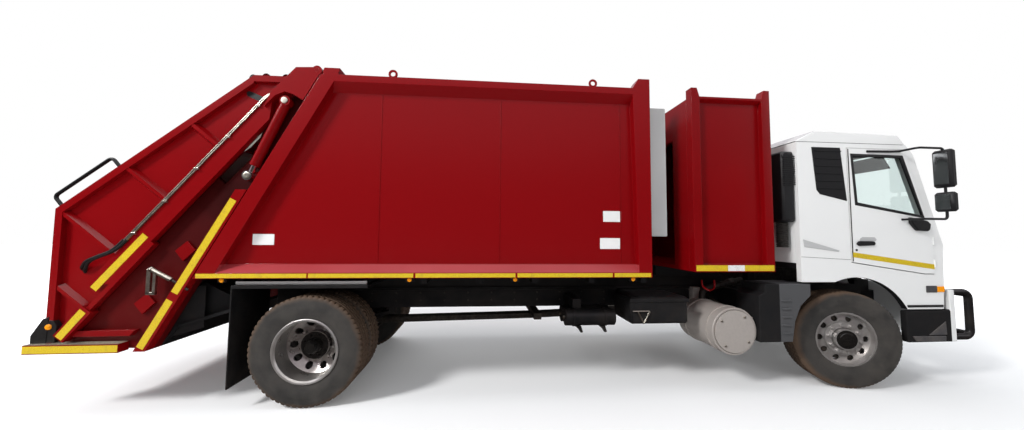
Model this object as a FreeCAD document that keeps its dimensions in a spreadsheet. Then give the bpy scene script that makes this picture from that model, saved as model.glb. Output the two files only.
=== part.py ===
import FreeCAD, Part
import Sketcher
import math
import os

# Rear-loading refuse truck, millimetres. X points forward, Y to the truck's left, Z up.
# Lengths along the truck are measured from the rear axle. The origin of the finished
# model lies on the ground at the middle of the whole truck's length and width.

SIZES = {
    # overall reach
    "rear_reach": 2330,
    "front_reach": 7240,
    "half_width": 1250,
    "overrun": 20,
    "fit_gap": 0.3,
    "shut_gap": 8,
    "run_gap": 10,
    # running gear
    "wheelbase": 5730,
    "tyre_radius": 525,
    "tyre_width": 280,
    "tyre_bead": 290,
    "tyre_shoulder": 22,
    "rim_flange": 306,
    "rim_wall": 14,
    "rim_width": 226,
    "disc_wall": 14,
    "hand_hole": 32,
    "hand_hole_ring": 222,
    "hub_radius": 112,
    "front_face": 1170,
    "rear_face": 1200,
    "twin_gap": 45,
    "kingpin_offset": 900,
    "kingpin_radius": 22,
    "knuckle_radius": 52,
    "knuckle_high": 655,
    "knuckle_low": 395,
    "eye_high": 580,
    "eye_low": 470,
    "spindle_radius": 34,
    "beam_depth": 90,
    "beam_width": 110,
    "beam_drop": 60,
    "housing_radius": 80,
    "diff_radius": 210,
    "spring_width": 76,
    "spring_thick": 70,
    "front_spring_half": 720,
    "rear_spring_half": 610,
    # chassis frame
    "frame_half": 425,
    "frame_low": 780,
    "frame_high": 1030,
    "frame_flange": 76,
    "frame_wall": 8,
    "frame_rear": 680,
    "frame_front": 6700,
    "subframe_high": 1150,
    "subframe_width": 70,
    "subframe_front": 4740,
    "member_width": 90,
    # load body
    "body_low": 1220,
    "rail_high": 1270,
    "panel_low": 1350,
    "panel_high": 3050,
    "top_rail_low": 3130,
    "body_top": 3200,
    "panel_depth": 90,
    "wall": 50,
    "body_front": 3401,
    "front_post": 137,
    "post_peak": 3300,
    "seam_low": 987,
    "seam_lean": 1014,
    "seam_rise": 1900,
    "rear_post": 165,
    "hinge_x": 34,
    "hinge_z": 3233,
    "hinge_pin": 20,
    "hinge_boss": 45,
    "rear_peak": 3263,
    "rear_peak_end": 249,
    "floor_rear": 930,
    "floor_plate": 30,
    "bearer_width": 60,
    "roof_plate": 40,
    "eye_rear_x": 756,
    "eye_front_x": 2788,
    "eye_radius": 45,
    "eye_rise": 28,
    # grey oil tank behind the body front
    "oil_tank_gap": 30,
    "oil_tank_long": 215,
    "oil_tank_low": 1640,
    "oil_tank_high": 3050,
    "oil_tank_wide": 620,
    "oil_tank_inset": 145,
    # crew box
    "crew_rear": 3860,
    "crew_front": 4755,
    "crew_low": 1275,
    "crew_top": 3140,
    "crew_wall": 45,
    "crew_recess": 55,
    "crew_post": 95,
    "crew_peak": 3235,
    "doorway_half": 870,
    "doorway_high": 2750,
    # cab
    "cab_rear": 5100,
    "cab_front": 6840,
    "cab_low": 1160,
    "cab_high": 2830,
    "cab_half": 1200,
    "cab_wall": 60,
    "cab_floor_low": 1300,
    "arch_radius": 690,
    "arch_height": 520,
    "tilt_x": 6780,
    "tilt_z": 1050,
    "tilt_pin": 20,
    "door_rear": 5705,
    "door_front": 6700,
    "door_proud": 12,
    "door_hinge": 9,
    "glass_thick": 6,
    "door_low": 1250,
    "door_high": 2640,
    "window_rear": 5744,
    "window_front": 6597,
    "window_low": 1882,
    "window_high": 2566,
    "louvre_rear": 5275,
    "louvre_low": 2048,
    "louvre_long": 400,
    "louvre_tall": 595,
    "louvre_thick": 5,
    "dash_rear": 6380,
    "dash_long": 330,
    "dash_high": 1765,
    "wheel_x": 6250,
    "wheel_z": 1800,
    "wheel_ring": 225,
    "wheel_grip": 16,
    "driver_y": 560,
    "seat_rear": 5250,
    "seat_long": 650,
    "seat_tall": 1000,
    "seat_half": 250,
    "intake_deep": 150,
    "intake_wide": 260,
    "intake_low": 1810,
    "intake_high": 2600,
    "mirror_x": 6590,
    "mirror_deep": 75,
    "mirror_outer": 1480,
    "mirror_wide": 170,
    "mirror_low": 2190,
    "mirror_high": 2600,
    "spot_low": 1930,
    "spot_high": 2140,
    "mirror_arm_x": 6330,
    "mirror_arm_high": 2600,
    "mirror_arm_low": 1850,
    "mirror_tube": 12,
    # parts on the frame
    "shaft_radius": 50,
    "shaft_middle": 2350,
    "shaft_high": 590,
    "engine_shaft": 700,
    "engine_rear": 5050,
    "engine_front": 6300,
    "engine_half": 330,
    "engine_low": 630,
    "engine_high": 1240,
    "silencer_x": 4340,
    "silencer_z": 640,
    "silencer_radius": 245,
    "silencer_outer": 1150,
    "silencer_inner": 520,
    "silencer_cap": 22,
    "silencer_pipe_y": 600,
    "exhaust_radius": 50,
    "air_tank_rear": 2580,
    "air_tank_long": 550,
    "air_tank_y": 860,
    "air_tank_z": 745,
    "air_tank_radius": 92,
    "battery_rear": 3250,
    "battery_front": 3900,
    "battery_outer": 1050,
    "battery_inner": 560,
    "battery_low": 700,
    "battery_high": 990,
    "fuel_rear": 3000,
    "fuel_front": 4300,
    "fuel_inner": 560,
    "fuel_outer": 1150,
    "fuel_low": 480,
    "fuel_high": 1000,
    "flap_x": 680,
    "flap_thick": 12,
    "flap_inner": 590,
    "flap_low": 200,
    "guard_low": 1120,
    "guard_front": 560,
    "step_rear": 4600,
    "step_low": 530,
    "step_long": 600,
    "step_tall": 610,
    "step_inner": 850,
    "bumper_front": 6940,
    "bumper_deep": 60,
    "bumper_rear": 6330,
    "bumper_low": 500,
    "bumper_high": 1070,
    "bumper_side_high": 840,
    "bull_radius": 35,
    "front_disc": 60,
    "front_dish": 18,
    "rear_dish": 64,
    "hub_inset": 12,
    "lamp_long": 80,
    "lamp_deep": 40,
    "lamp_tall": 45,
    "lamp_inset": 60,
    "band_thick": 8,
    "band_wide": 30,
    "corner_cut": 22,
    "grille_deep": 30,
    "grille_half": 720,
    # tailgate
    "tail_half": 1150,
    "tail_wall": 60,
    "tail_rear": 2217,
    "tail_low": 575,
    "tail_top": 3180,
    "slope_low": 1850,
    "roof_rear": 575,
    "edge_rim": 60,
    "rim_proud": 45,
    "seam_bar": 100,
    "seam_bar_high": 2050,
    "guide_top_x": 378,
    "guide_top_z": 3008,
    "guide_run": 1520,
    "guide_wide": 200,
    "guide_inset": 30,
    "arm_rear_x": 161,
    "arm_low": 2930,
    "slot_x": 560,
    "slot_z": 2600,
    "slot_long": 340,
    "slot_tall": 410,
    "lift_top_x": 257,
    "lift_top_z": 2922,
    "lift_low_x": 565,
    "lift_low_z": 2187,
    "lift_pin": 20,
    "lift_radius": 45,
    "lift_rod": 26,
    "lift_barrel": 690,
    "lift_closed": 797,
    "cheek_gap": 5,
    "cheek_thick": 10,
    "pivot_x": 1265,
    "pivot_z": 2176,
    "packer_travel": 750,
    "carriage_long": 1000,
    "arm_half": 80,
    "arm_thick": 45,
    "guide_rail": 45,
    "guide_end": 60,
    "hub_tube": 60,
    "blade_pin": 30,
    "pin_reach": 70,
    "blade_reach": 750,
    "blade_gap": 20,
    "blade_thick": 30,
    "hopper_plate": 30,
    "ramp_long": 190,
    "sill_high": 970,
    "sill_deep": 117,
    "chute_mid_x": 1200,
    "chute_mid_z": 741,
    "chute_tip_x": 740,
    "chute_tip_z": 885,
    "chute_half": 1000,
    "gusset_rise": 110,
    "gusset_top_x": 1040,
    "gusset_top_z": 1150,
    "tail_step_low": 567,
    "tail_step_high": 644,
    "step_front": 1560,
    "grab_high": 115,
    "grab_tube": 15,
}

doc = FreeCAD.newDocument("garbage_truck")
sheet = doc.addObject("Spreadsheet::Sheet", "Dims")


class Size:
    """A length that carries its value and the sheet expression that gives it."""

    def __init__(self, value, text):
        self.value = float(value)
        self.text = text

    def __add__(self, other):
        other = as_size(other)
        return Size(self.value + other.value, "(%s + %s)" % (self.text, other.text))

    def __radd__(self, other):
        return as_size(other) + self

    def __sub__(self, other):
        other = as_size(other)
        return Size(self.value - other.value, "(%s - %s)" % (self.text, other.text))

    def __rsub__(self, other):
        return as_size(other) - self

    def __mul__(self, share):
        return Size(self.value * share, "(%s * %.9g)" % (self.text, share))

    __rmul__ = __mul__

    def __truediv__(self, share):
        return self * (1.0 / share)

    def __neg__(self):
        return Size(-self.value, "(-%s)" % self.text)


def as_size(thing):
    if isinstance(thing, Size):
        return thing
    return Size(thing, "%.9g" % thing)


class Sheet:
    """The named sizes, each one a cell of the sheet."""


for row, (name, number) in enumerate(SIZES.items(), start=1):
    cell = "B%d" % row
    sheet.set("A%d" % row, name.replace("_", " "))
    sheet.set(cell, str(number))
    sheet.setAlias(cell, name)
    setattr(Sheet, name, Size(number, "Dims." + name))
doc.recompute()

S = Sheet
SHIFT = (S.rear_reach - S.front_reach) / 2
STEER_ANGLE = -16
WHEEL_TILT = 55
GUIDE_SLOPE = 1.21
GUIDE_COS = 0.637
GUIDE_SIN = 0.771
GUIDE_CORNER_SHARE = (-0.11, 1.33)
GRAB_SHARE = (0.02, 0.3)
ZERO = as_size(0)
UP = FreeCAD.Vector(0, 0, 1)
ALONG_X = FreeCAD.Rotation(FreeCAD.Vector(0, 1, 0), 90)
ALONG_Y = FreeCAD.Rotation(FreeCAD.Vector(1, 0, 0), -90)
ACROSS_GUIDE = FreeCAD.Rotation(FreeCAD.Vector(0, 1, 0),
                                math.degrees(math.atan2(GUIDE_COS, GUIDE_SIN)))
made = {}


# Shares of the sizes that these outlines and places follow
HAND_HOLES = 10
MEMBER_SHARE = (0.02, 0.27, 0.5, 0.74, 0.97)
BEARER_SHARE = (0.0, 0.14, 0.29, 0.43, 0.57, 0.71, 0.86, 1.0)
MARKER_SHARE = (0.04, 0.433, 0.67, 0.95)
BULL_POST_SHARE = (-0.3, 0.3)
BULL_BAR_SHARE = (0.06, 0.94)
RIB_SHARE = ((0.316, -0.145, 0.105), (-0.132, -0.243, 0.105), (-0.5625, -0.309, 0.105),
             (-0.9, -0.02, 0.175))
LOUVRE_SHARE = (0.22, 0.36, 0.5, 0.64, 0.78, 0.92)
GRILLE_SHARE = (0.03, 0.08, 0.13, 0.18)
STEP_RIB_SHARE = (0.14, 0.28, 0.42, 0.56, 0.7)
BAND_SHARE = (0.15, 0.78)
STEP_OUTLINE_SHARE = ((0.0, 0.0), (0.62, 0.0), (0.68, 0.35), (0.8, 0.62), (1.0, 0.8),
                      (1.0, 1.0), (0.12, 1.0), (0.12, 0.86), (0.0, 0.8))
CAB_OUTLINE_SHARE = ((0.0, 0.0), (0.5, 0.0), (0.5, -0.18), (0.977, -0.18), (0.989, -0.024),
                     (1.0, 0.2455), (0.941, 0.447), (0.822, 0.855), (0.789, 0.896),
                     (0.768, 0.922), (0.0, 0.922))
DOOR_OUTLINE_SHARE = ((0.0, 0.0914), (0.25, 0.065), (0.88, 0.0), (1.0, 0.0), (1.0, 0.324),
                      (0.94, 0.473), (0.739, 0.942), (0.7, 1.0), (0.0, 1.0))
DOOR_HINGE_SHARE = (0.05, 0.23)
WINDOW_OUTLINE_SHARE = ((0.036, 0.197), (1.0, 0.0), (0.728, 0.993), (0.0, 1.0))
LOUVRE_OUTLINE_SHARE = ((0.0, 1.0), (0.1, 0.2), (0.2, 0.12), (1.0, 0.0), (0.86, 1.0))
ROOF_OUTLINE_SHARE = ((0.0, 0.922), (0.0, 0.93), (0.132, 1.0), (0.7155, 0.988),
                      (0.768, 0.922), (0.73, 0.922), (0.695, 0.955), (0.15, 0.962),
                      (0.045, 0.922))
ROOF_END_SHARE = ((0.0, 0.922), (0.0, 0.93), (0.132, 1.0), (0.7155, 0.988), (0.768, 0.922))
HEADER_SHARE = ((0.768, 0.922), (0.73, 0.922), (0.75, 0.896), (0.789, 0.896))
NOSE_OUTLINE_SHARE = ((0.954, -0.024), (0.989, -0.024), (1.0, 0.2455), (0.963, 0.371),
                      (0.929, 0.371), (0.965, 0.2455))
SCREEN_OUTLINE_SHARE = ((0.963, 0.371), (0.941, 0.447), (0.822, 0.855), (0.789, 0.896),
                        (0.781, 0.896), (0.814, 0.855), (0.933, 0.447), (0.955, 0.371))
TOP_SHARE = 0.922
FLOOR_FRONT_SHARE = 0.954
DASH_SHARE = ((0.08, 0.0), (1.0, 0.0), (1.0, 0.5), (0.9, 1.0), (0.1, 1.0), (0.0, 0.75))
SEAT_SHARE = ((0.1, 0.0), (0.9, 0.0), (1.0, 0.32), (1.0, 0.45), (0.32, 0.43), (0.14, 1.0),
              (0.0, 1.0), (0.1, 0.4))


# Making pieces

def place(piece, x, y, z, rotation=None):
    if rotation is not None:
        piece.Placement = FreeCAD.Placement(FreeCAD.Vector(0, 0, 0), rotation)
    for axis, size in (("x", x + SHIFT), ("y", as_size(y)), ("z", as_size(z))):
        piece.setExpression("Placement.Base." + axis, size.text)
    return piece


def box(x, y, z):
    """A block between two corners, given as three pairs of sizes."""
    piece = doc.addObject("Part::Box", "block")
    for name, (low, high) in (("Length", x), ("Width", y), ("Height", z)):
        piece.setExpression(name, (as_size(high) - low).text)
    return place(piece, as_size(x[0]), y[0], z[0])


def bar(axis, x, y, z, radius, length):
    """A round bar that starts at a point and runs along X, Y or Z."""
    piece = doc.addObject("Part::Cylinder", "bar")
    piece.setExpression("Radius", radius.text)
    piece.setExpression("Height", as_size(length).text)
    turn = {"x": ALONG_X, "y": ALONG_Y, "z": None}[axis]
    return place(piece, as_size(x), y, z, turn)


def sketch_in(body, role, points):
    """A closed outline in one of the body's own planes, tied to the sheet."""
    plane = [item for item in body.Origin.OriginFeatures if item.Role == role][0]
    outline = body.newObject("Sketcher::SketchObject", "outline")
    outline.AttachmentSupport = [(plane, "")]
    outline.MapMode = "FlatFace"
    corners = [(as_size(across), as_size(up)) for across, up in points]
    spots = [FreeCAD.Vector(across.value, up.value, 0) for across, up in corners]
    count = len(spots)
    for index in range(count):
        line = Part.LineSegment(spots[index], spots[(index + 1) % count])
        outline.addGeometry(line, False)
    for index in range(count):
        following = (index + 1) % count
        outline.addConstraint(Sketcher.Constraint("Coincident", index, 2, following, 1))
    for index, corner in enumerate(corners):
        for kind, size in (("DistanceX", corner[0]), ("DistanceY", corner[1])):
            rule = Sketcher.Constraint(kind, -1, 1, index, 1, size.value)
            number = outline.addConstraint(rule)
            outline.setExpression("Constraints[%d]" % number, size.text)
    return outline


def slab(points, low, high, role="XZ_Plane"):
    """A flat piece: an outline seen from the side, the top or the end, made thick."""
    body = doc.addObject("PartDesign::Body", "slab")
    outline = sketch_in(body, role, points)
    pad = body.newObject("PartDesign::Pad", "pad")
    pad.Profile = outline
    pad.setExpression("Length", (as_size(high) - low).text)
    pad.Reversed = role == "XZ_Plane"
    body.Tip = pad
    if role == "XZ_Plane":
        return place(body, ZERO, low, 0)
    if role == "XY_Plane":
        return place(body, ZERO, 0, low)
    return place(body, as_size(low), 0, 0)


def blunted(body, size):
    """Takes the sharpness off every edge of a flat piece."""
    pad = body.Tip
    edges = body.newObject("PartDesign::Chamfer", "edges")
    edges.Base = (pad, [""])
    edges.UseAllEdges = True
    edges.setExpression("Size", size.text)
    body.Tip = edges
    return body


def soft_box(x, y, z, size):
    """A block with blunted edges between two corners."""
    outline = [(x[0], z[0]), (x[1], z[0]), (x[1], z[1]), (x[0], z[1])]
    return blunted(slab(outline, y[0], y[1]), size)


def turned(points, x, y, z):
    """A round piece about an axis along Y; points are radius and distance along Y."""
    body = doc.addObject("PartDesign::Body", "turned")
    outline = sketch_in(body, "XY_Plane", points)
    turn = body.newObject("PartDesign::Revolution", "turn")
    turn.Profile = outline
    turn.ReferenceAxis = (outline, ["V_Axis"])
    turn.Angle = 360
    body.Tip = turn
    return place(body, x, y, z)


def fused(*pieces):
    if len(pieces) == 1:
        return pieces[0]
    piece = doc.addObject("Part::MultiFuse", "joined")
    piece.Shapes = list(pieces)
    piece.Refine = True
    return piece


def less(base, *tools):
    piece = doc.addObject("Part::Cut", "shaped")
    piece.Base = base
    piece.Tool = fused(*tools)
    return piece


def common(base, tool):
    piece = doc.addObject("Part::Common", "kept")
    piece.Base = base
    piece.Tool = tool
    return piece


def other_side(source):
    """The same piece on the truck's other side."""
    piece = doc.addObject("Part::Mirroring", "other_side")
    piece.Source = source
    piece.Normal = (0, 1, 0)
    return piece


def both_sides(source):
    return group(source, other_side(source))


def group(*pieces):
    piece = doc.addObject("Part::Compound", "set")
    piece.Links = list(pieces)
    return piece


def point(x, y, z):
    return FreeCAD.Vector((as_size(x) + SHIFT).value, as_size(y).value, as_size(z).value)


def rod(start, end, radius):
    """A round bar between two points given in named sizes."""
    first = point(*start)
    run = point(*end) - first
    piece = doc.addObject("Part::Feature", "rod")
    piece.Shape = Part.makeCylinder(radius.value, run.Length, first, run)
    return piece


def pipe(points, radius, bend):
    """A round tube along straight runs joined by arcs."""
    spots = [point(*spot) for spot in points]
    runs = []
    start = spots[0]
    for before, corner, after in zip(spots, spots[1:], spots[2:]):
        back = (before - corner).normalize()
        ahead = (after - corner).normalize()
        opening = back.getAngle(ahead)
        first = corner + back * (bend.value / math.tan(opening / 2))
        centre = corner + (back + ahead).normalize() * (bend.value / math.sin(opening / 2))
        section = Part.Face(Part.Wire([Part.makeCircle(radius.value, first, back)]))
        runs.append(Part.makeCylinder(radius.value, (first - start).Length, start, first - start))
        runs.append(section.revolve(centre, ahead.cross(back), 180 - math.degrees(opening)))
        start = corner + ahead * (bend.value / math.tan(opening / 2))
    last = spots[-1] - start
    runs.append(Part.makeCylinder(radius.value, last.Length, start, last))
    piece = doc.addObject("Part::Feature", "pipe")
    piece.Shape = runs[0].multiFuse(runs[1:])
    return piece


def shares_of(x, z, long_side, tall_side, outline_share):
    """An outline given as shares of a length and a height, from a low rear corner."""
    return [(x + long_side * along, z + tall_side * up) for along, up in outline_share]


def keep(name, piece):
    """Names a finished sub-part."""
    piece.Label = name
    made[name] = piece
    return piece


# Chassis

def chassis_frame():
    y_out = -S.frame_half
    y_in = y_out + S.frame_flange
    rail = less(
        box((-S.frame_rear, S.frame_front), (y_out, y_in), (S.frame_low, S.frame_high)),
        box((-S.frame_rear - S.overrun, S.frame_front + S.overrun),
            (y_out + S.frame_wall, y_in + S.overrun),
            (S.frame_low + S.frame_wall, S.frame_high - S.frame_wall)))
    upper = box((-S.frame_rear, S.subframe_front),
                (y_out, y_out + S.subframe_width), (S.frame_high, S.subframe_high))
    side = fused(rail, upper)
    members = []
    for share in MEMBER_SHARE:
        x = -S.frame_rear + (S.subframe_front + S.frame_rear) * share
        members.append(box((x, x + S.member_width),
                           (y_out + S.frame_wall / 2, S.frame_half - S.frame_wall / 2),
                           (S.frame_low + S.frame_wall / 2, S.frame_high - S.frame_wall / 2)))
    nose = box((S.frame_front - S.member_width, S.frame_front),
               (y_out + S.frame_wall / 2, S.frame_half - S.frame_wall / 2),
               (S.frame_low + S.frame_wall / 2, S.frame_high - S.frame_wall / 2))
    lug_end = y_out + S.subframe_width
    tilt_lug = box((S.frame_front - S.member_width, S.tilt_x + S.tilt_pin * 2), (y_out, lug_end),
                   (S.frame_high - S.member_width, S.tilt_z + S.tilt_pin * 2))
    tilt_pin = bar("y", S.tilt_x, lug_end - S.overrun, S.tilt_z, S.tilt_pin,
                   S.overrun + S.run_gap + S.cab_wall)
    rest = box((S.cab_rear, S.cab_rear + S.member_width), (y_out, lug_end),
               (S.frame_high - S.overrun, S.cab_floor_low - S.fit_gap))
    mounts = []
    for piece in (tilt_lug, tilt_pin, rest):
        mounts += [piece, other_side(piece)]
    keep("chassis_frame", fused(side, other_side(side), nose, *(members + mounts)))


def leaf_spring(x, half, side_y):
    """A leaf pack with its two hangers under a frame rail."""
    axle_low = S.tyre_radius + S.beam_depth / 2
    low = side_y
    high = side_y + S.spring_width
    leaf_top = S.frame_low - S.spring_thick
    points = [(x - half, leaf_top), (x, axle_low), (x + half, leaf_top),
              (x + half, leaf_top + S.spring_thick / 2),
              (x, axle_low + S.spring_thick), (x - half, leaf_top + S.spring_thick / 2)]
    leaf = slab(points, low, high)
    hangers = [box((x + half * end - S.spring_thick / 2, x + half * end + S.spring_thick / 2),
                   (low, high), (leaf_top, S.frame_low)) for end in (-1, 1)]
    return fused(leaf, *hangers)


def rear_axle():
    reach = S.rear_face - S.tyre_width * 1.5 - S.twin_gap - S.run_gap
    tube = bar("y", 0, -reach, S.tyre_radius, S.housing_radius, reach * 2)
    ball = doc.addObject("Part::Sphere", "ball")
    ball.setExpression("Radius", S.diff_radius.text)
    place(ball, ZERO, 0, S.tyre_radius)
    stub_radius = S.spindle_radius
    stub = bar("y", 0, -S.rear_face + S.hub_radius, S.tyre_radius, stub_radius,
               (S.rear_face - S.hub_radius) * 2)
    spring = leaf_spring(ZERO, S.rear_spring_half, -S.frame_half)
    seat = box((-S.spring_thick, S.spring_thick), (-S.frame_half, -S.frame_half + S.spring_width),
               (S.tyre_radius, S.tyre_radius + S.beam_depth / 2 + S.spring_thick / 2))
    side = fused(spring, seat)
    keep("rear_axle", fused(tube, ball, stub, side, other_side(side)))


def front_axle():
    x = S.wheelbase
    low = S.tyre_radius - S.beam_depth / 2 - S.beam_drop
    high = low + S.beam_depth
    reach = S.kingpin_offset - S.knuckle_radius * 0.6
    points = [(-reach, S.eye_low), (-reach + S.beam_width, S.eye_low), (-S.frame_half, low),
              (S.frame_half, low), (reach - S.beam_width, S.eye_low), (reach, S.eye_low),
              (reach, S.eye_high), (reach - S.beam_width, S.eye_high), (S.frame_half, high),
              (-S.frame_half, high), (-reach + S.beam_width, S.eye_high), (-reach, S.eye_high)]
    beam = slab(points, x - S.beam_width / 2, x + S.beam_width / 2, "YZ_Plane")
    eyes = [bar("z", x, S.kingpin_offset * end, S.eye_low, S.knuckle_radius,
                S.eye_high - S.eye_low) for end in (-1, 1)]
    bores = [bar("z", x, S.kingpin_offset * end, S.eye_low - S.overrun,
                 S.kingpin_radius + S.fit_gap, S.eye_high - S.eye_low + S.overrun * 2)
             for end in (-1, 1)]
    spring = leaf_spring(x, S.front_spring_half, -S.frame_half)
    seat = box((x - S.spring_thick, x + S.spring_thick),
               (-S.frame_half, -S.frame_half + S.spring_width),
               (high - S.overrun, S.tyre_radius + S.beam_depth / 2 + S.spring_thick / 2))
    side = fused(spring, seat)
    whole = fused(beam, side, other_side(side), *eyes)
    keep("front_axle", less(whole, *bores))


def driveline():
    tube = rod((S.diff_radius, 0, S.tyre_radius + S.shaft_radius / 2),
               (S.shaft_middle, 0, S.shaft_high), S.shaft_radius)
    front = rod((S.shaft_middle, 0, S.shaft_high), (S.engine_rear, 0, S.engine_shaft),
                S.shaft_radius)
    carrier = box((S.shaft_middle - S.member_width / 2, S.shaft_middle + S.member_width / 2),
                  (-S.frame_half + S.frame_wall, S.frame_half - S.frame_wall),
                  (S.shaft_high + S.shaft_radius / 2, S.shaft_high + S.shaft_radius * 2))
    engine = box((S.engine_rear, S.engine_front), (-S.engine_half, S.engine_half),
                 (S.engine_low, S.engine_high))
    keep("engine_and_driveshaft", fused(engine, tube, front, carrier))


def silencer():
    x = S.silencer_x
    z = S.silencer_z
    can = bar("y", x, -S.silencer_outer, z, S.silencer_radius, S.silencer_outer - S.silencer_inner)
    cap = bar("y", x, -S.silencer_outer - S.silencer_cap, z, S.silencer_radius - S.silencer_cap,
              S.silencer_cap)
    arm = box((x - S.member_width / 2, x + S.member_width / 2),
              (-S.silencer_inner, -S.frame_half), (z + S.silencer_radius / 2, S.frame_high - S.overrun))
    feed = pipe([(x + S.silencer_radius / 2, -S.silencer_pipe_y, z),
                 (x + S.silencer_radius * 2, -S.silencer_pipe_y, z + S.silencer_radius / 2),
                 (S.engine_rear + S.member_width, -S.silencer_pipe_y, z + S.silencer_radius / 2),
                 ], S.exhaust_radius, S.exhaust_radius * 2.5)
    long = S.silencer_outer - S.silencer_inner
    bands = [bar("y", x, -S.silencer_outer + long * share, z, S.silencer_radius + S.band_thick,
                 S.band_wide) for share in BAND_SHARE]
    keep("silencer", fused(can, cap, arm, feed, *bands))


def air_tanks():
    tanks = []
    for share in (0, 1):
        y = -S.air_tank_y + S.air_tank_radius * 2.1 * share
        tanks.append(bar("x", S.air_tank_rear, y, S.air_tank_z, S.air_tank_radius,
                         S.air_tank_long))
        tanks += [bar("x", S.air_tank_rear + S.air_tank_long * place, y, S.air_tank_z,
                      S.air_tank_radius + S.band_thick, S.band_wide) for place in BAND_SHARE]
    strap = box((S.air_tank_rear + S.member_width, S.air_tank_rear + S.member_width * 2),
                (-S.air_tank_y, -S.frame_half),
                (S.air_tank_z + S.air_tank_radius / 2, S.frame_high - S.member_width))
    keep("air_tanks", fused(strap, *tanks))


def battery_box():
    body = soft_box((S.battery_rear, S.battery_front), (-S.battery_outer, -S.battery_inner),
                    (S.battery_low, S.battery_high), S.corner_cut)
    arm = box((S.battery_rear + S.member_width, S.battery_front - S.member_width),
              (-S.battery_inner, -S.frame_half), (S.battery_low + S.member_width, S.battery_high))
    lid = box((S.battery_rear - S.band_thick, S.battery_front + S.band_thick),
              (-S.battery_outer - S.band_thick, -S.battery_inner + S.band_thick),
              (S.battery_high - S.band_wide * 2, S.battery_high - S.corner_cut))
    keep("battery_box", fused(body, arm, lid))


def fuel_tank():
    body = soft_box((S.fuel_rear, S.fuel_front), (S.fuel_inner, S.fuel_outer),
                    (S.fuel_low, S.fuel_high), S.corner_cut * 3)
    arm = box((S.fuel_rear + S.member_width, S.fuel_front - S.member_width),
              (S.frame_half, S.fuel_inner), (S.frame_low + S.overrun, S.fuel_high))
    neck = bar("z", S.fuel_front - S.member_width * 2, (S.fuel_inner + S.fuel_outer) / 2,
               S.fuel_high, S.shaft_radius, S.overrun * 2)
    bands = []
    for share in BAND_SHARE:
        start = S.fuel_rear + (S.fuel_front - S.fuel_rear) * share
        bands.append(soft_box((start, start + S.band_wide * 2),
                              (S.fuel_inner - S.band_thick, S.fuel_outer + S.band_thick),
                              (S.fuel_low - S.band_thick, S.fuel_high + S.band_thick),
                              S.band_thick))
    keep("fuel_tank", fused(body, arm, neck, *bands))


def rear_mudguards():
    flap = box((-S.flap_x, -S.flap_x + S.flap_thick), (-S.rear_face, -S.flap_inner),
               (S.flap_low, S.guard_low))
    strip = box((-S.flap_x, S.guard_front), (-S.rear_face, -S.flap_inner),
                (S.guard_low, S.subframe_high))
    arm = box((-S.flap_x, -S.flap_x + S.member_width), (-S.flap_inner, -S.frame_half),
              (S.guard_low, S.subframe_high))
    keep("rear_mudguards", both_sides(fused(flap, strip, arm)))


def cab_steps():
    points = shares_of(S.step_rear, S.step_low, S.step_long, S.step_tall, STEP_OUTLINE_SHARE)
    body = slab(points, -S.cab_half, -S.step_inner)
    ribs = [box((S.step_rear + S.step_long * 0.42, S.step_rear + S.step_long * 0.6),
                (-S.cab_half - S.band_thick * 2, -S.cab_half),
                (S.step_low + S.step_tall * share,
                 S.step_low + S.step_tall * share + S.band_wide / 2)) for share in STEP_RIB_SHARE]
    arm = box((S.step_rear + S.member_width, S.step_rear + S.member_width * 2),
              (-S.step_inner, -S.frame_half), (S.frame_low + S.overrun, S.frame_high - S.overrun))
    keep("cab_steps", both_sides(fused(body, arm, *ribs)))


def front_bumper():
    x = S.bumper_front
    low = S.bumper_low
    high = S.bumper_high
    face = box((x - S.bumper_deep, x), (-S.cab_half, S.cab_half), (low, high))
    corner = box((S.bumper_rear, x - S.bumper_deep), (-S.cab_half, -S.cab_half + S.cab_wall),
                 (low, S.bumper_side_high))
    arm = box((S.frame_front, x - S.bumper_deep), (-S.frame_half, -S.frame_half + S.frame_flange),
              (S.frame_low, S.frame_high - S.member_width))
    keep("front_bumper", fused(face, corner, other_side(corner), arm, other_side(arm)))


def chassis_lamps():
    """The two headlamps and the amber markers along the body's lower edge."""
    head = box((S.bumper_front, S.bumper_front + S.overrun),
               (-S.cab_half + S.cab_wall, -S.frame_half),
               (S.bumper_low + S.cab_wall * 2, S.bumper_high - S.cab_wall * 3))
    lamps = [head]
    for share in MARKER_SHARE:
        x = -S.seam_low + (S.body_front + S.seam_low) * share
        lamps.append(box((x, x + S.lamp_long), (-S.half_width + S.lamp_inset,
                                                -S.half_width + S.lamp_inset + S.lamp_deep),
                         (S.body_low - S.lamp_tall, S.body_low)))
    keep("chassis_lamps", both_sides(group(*lamps)))


def bull_bar():
    x = S.bumper_front
    far = S.front_reach - S.bull_radius
    high = S.bumper_high - S.bull_radius
    low = S.bumper_low + S.bull_radius
    y = S.cab_half - S.cab_wall
    hoop = pipe([(x, -y, high), (far, -y, high), (far, -y, low), (x, -y, low)],
                S.bull_radius, S.bull_radius * 2.2)
    rise = high - low
    bars = [bar("y", far, -y, low + rise * share, S.bull_radius * 0.8, y * 2)
            for share in BULL_BAR_SHARE]
    first = rise * BULL_BAR_SHARE[0]
    posts = [bar("z", far, S.cab_half * share, low + first, S.bull_radius * 0.6, rise - first * 2)
             for share in BULL_POST_SHARE]
    keep("bull_bar", fused(hoop, other_side(hoop), *(bars + posts)))


# Wheels

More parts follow.
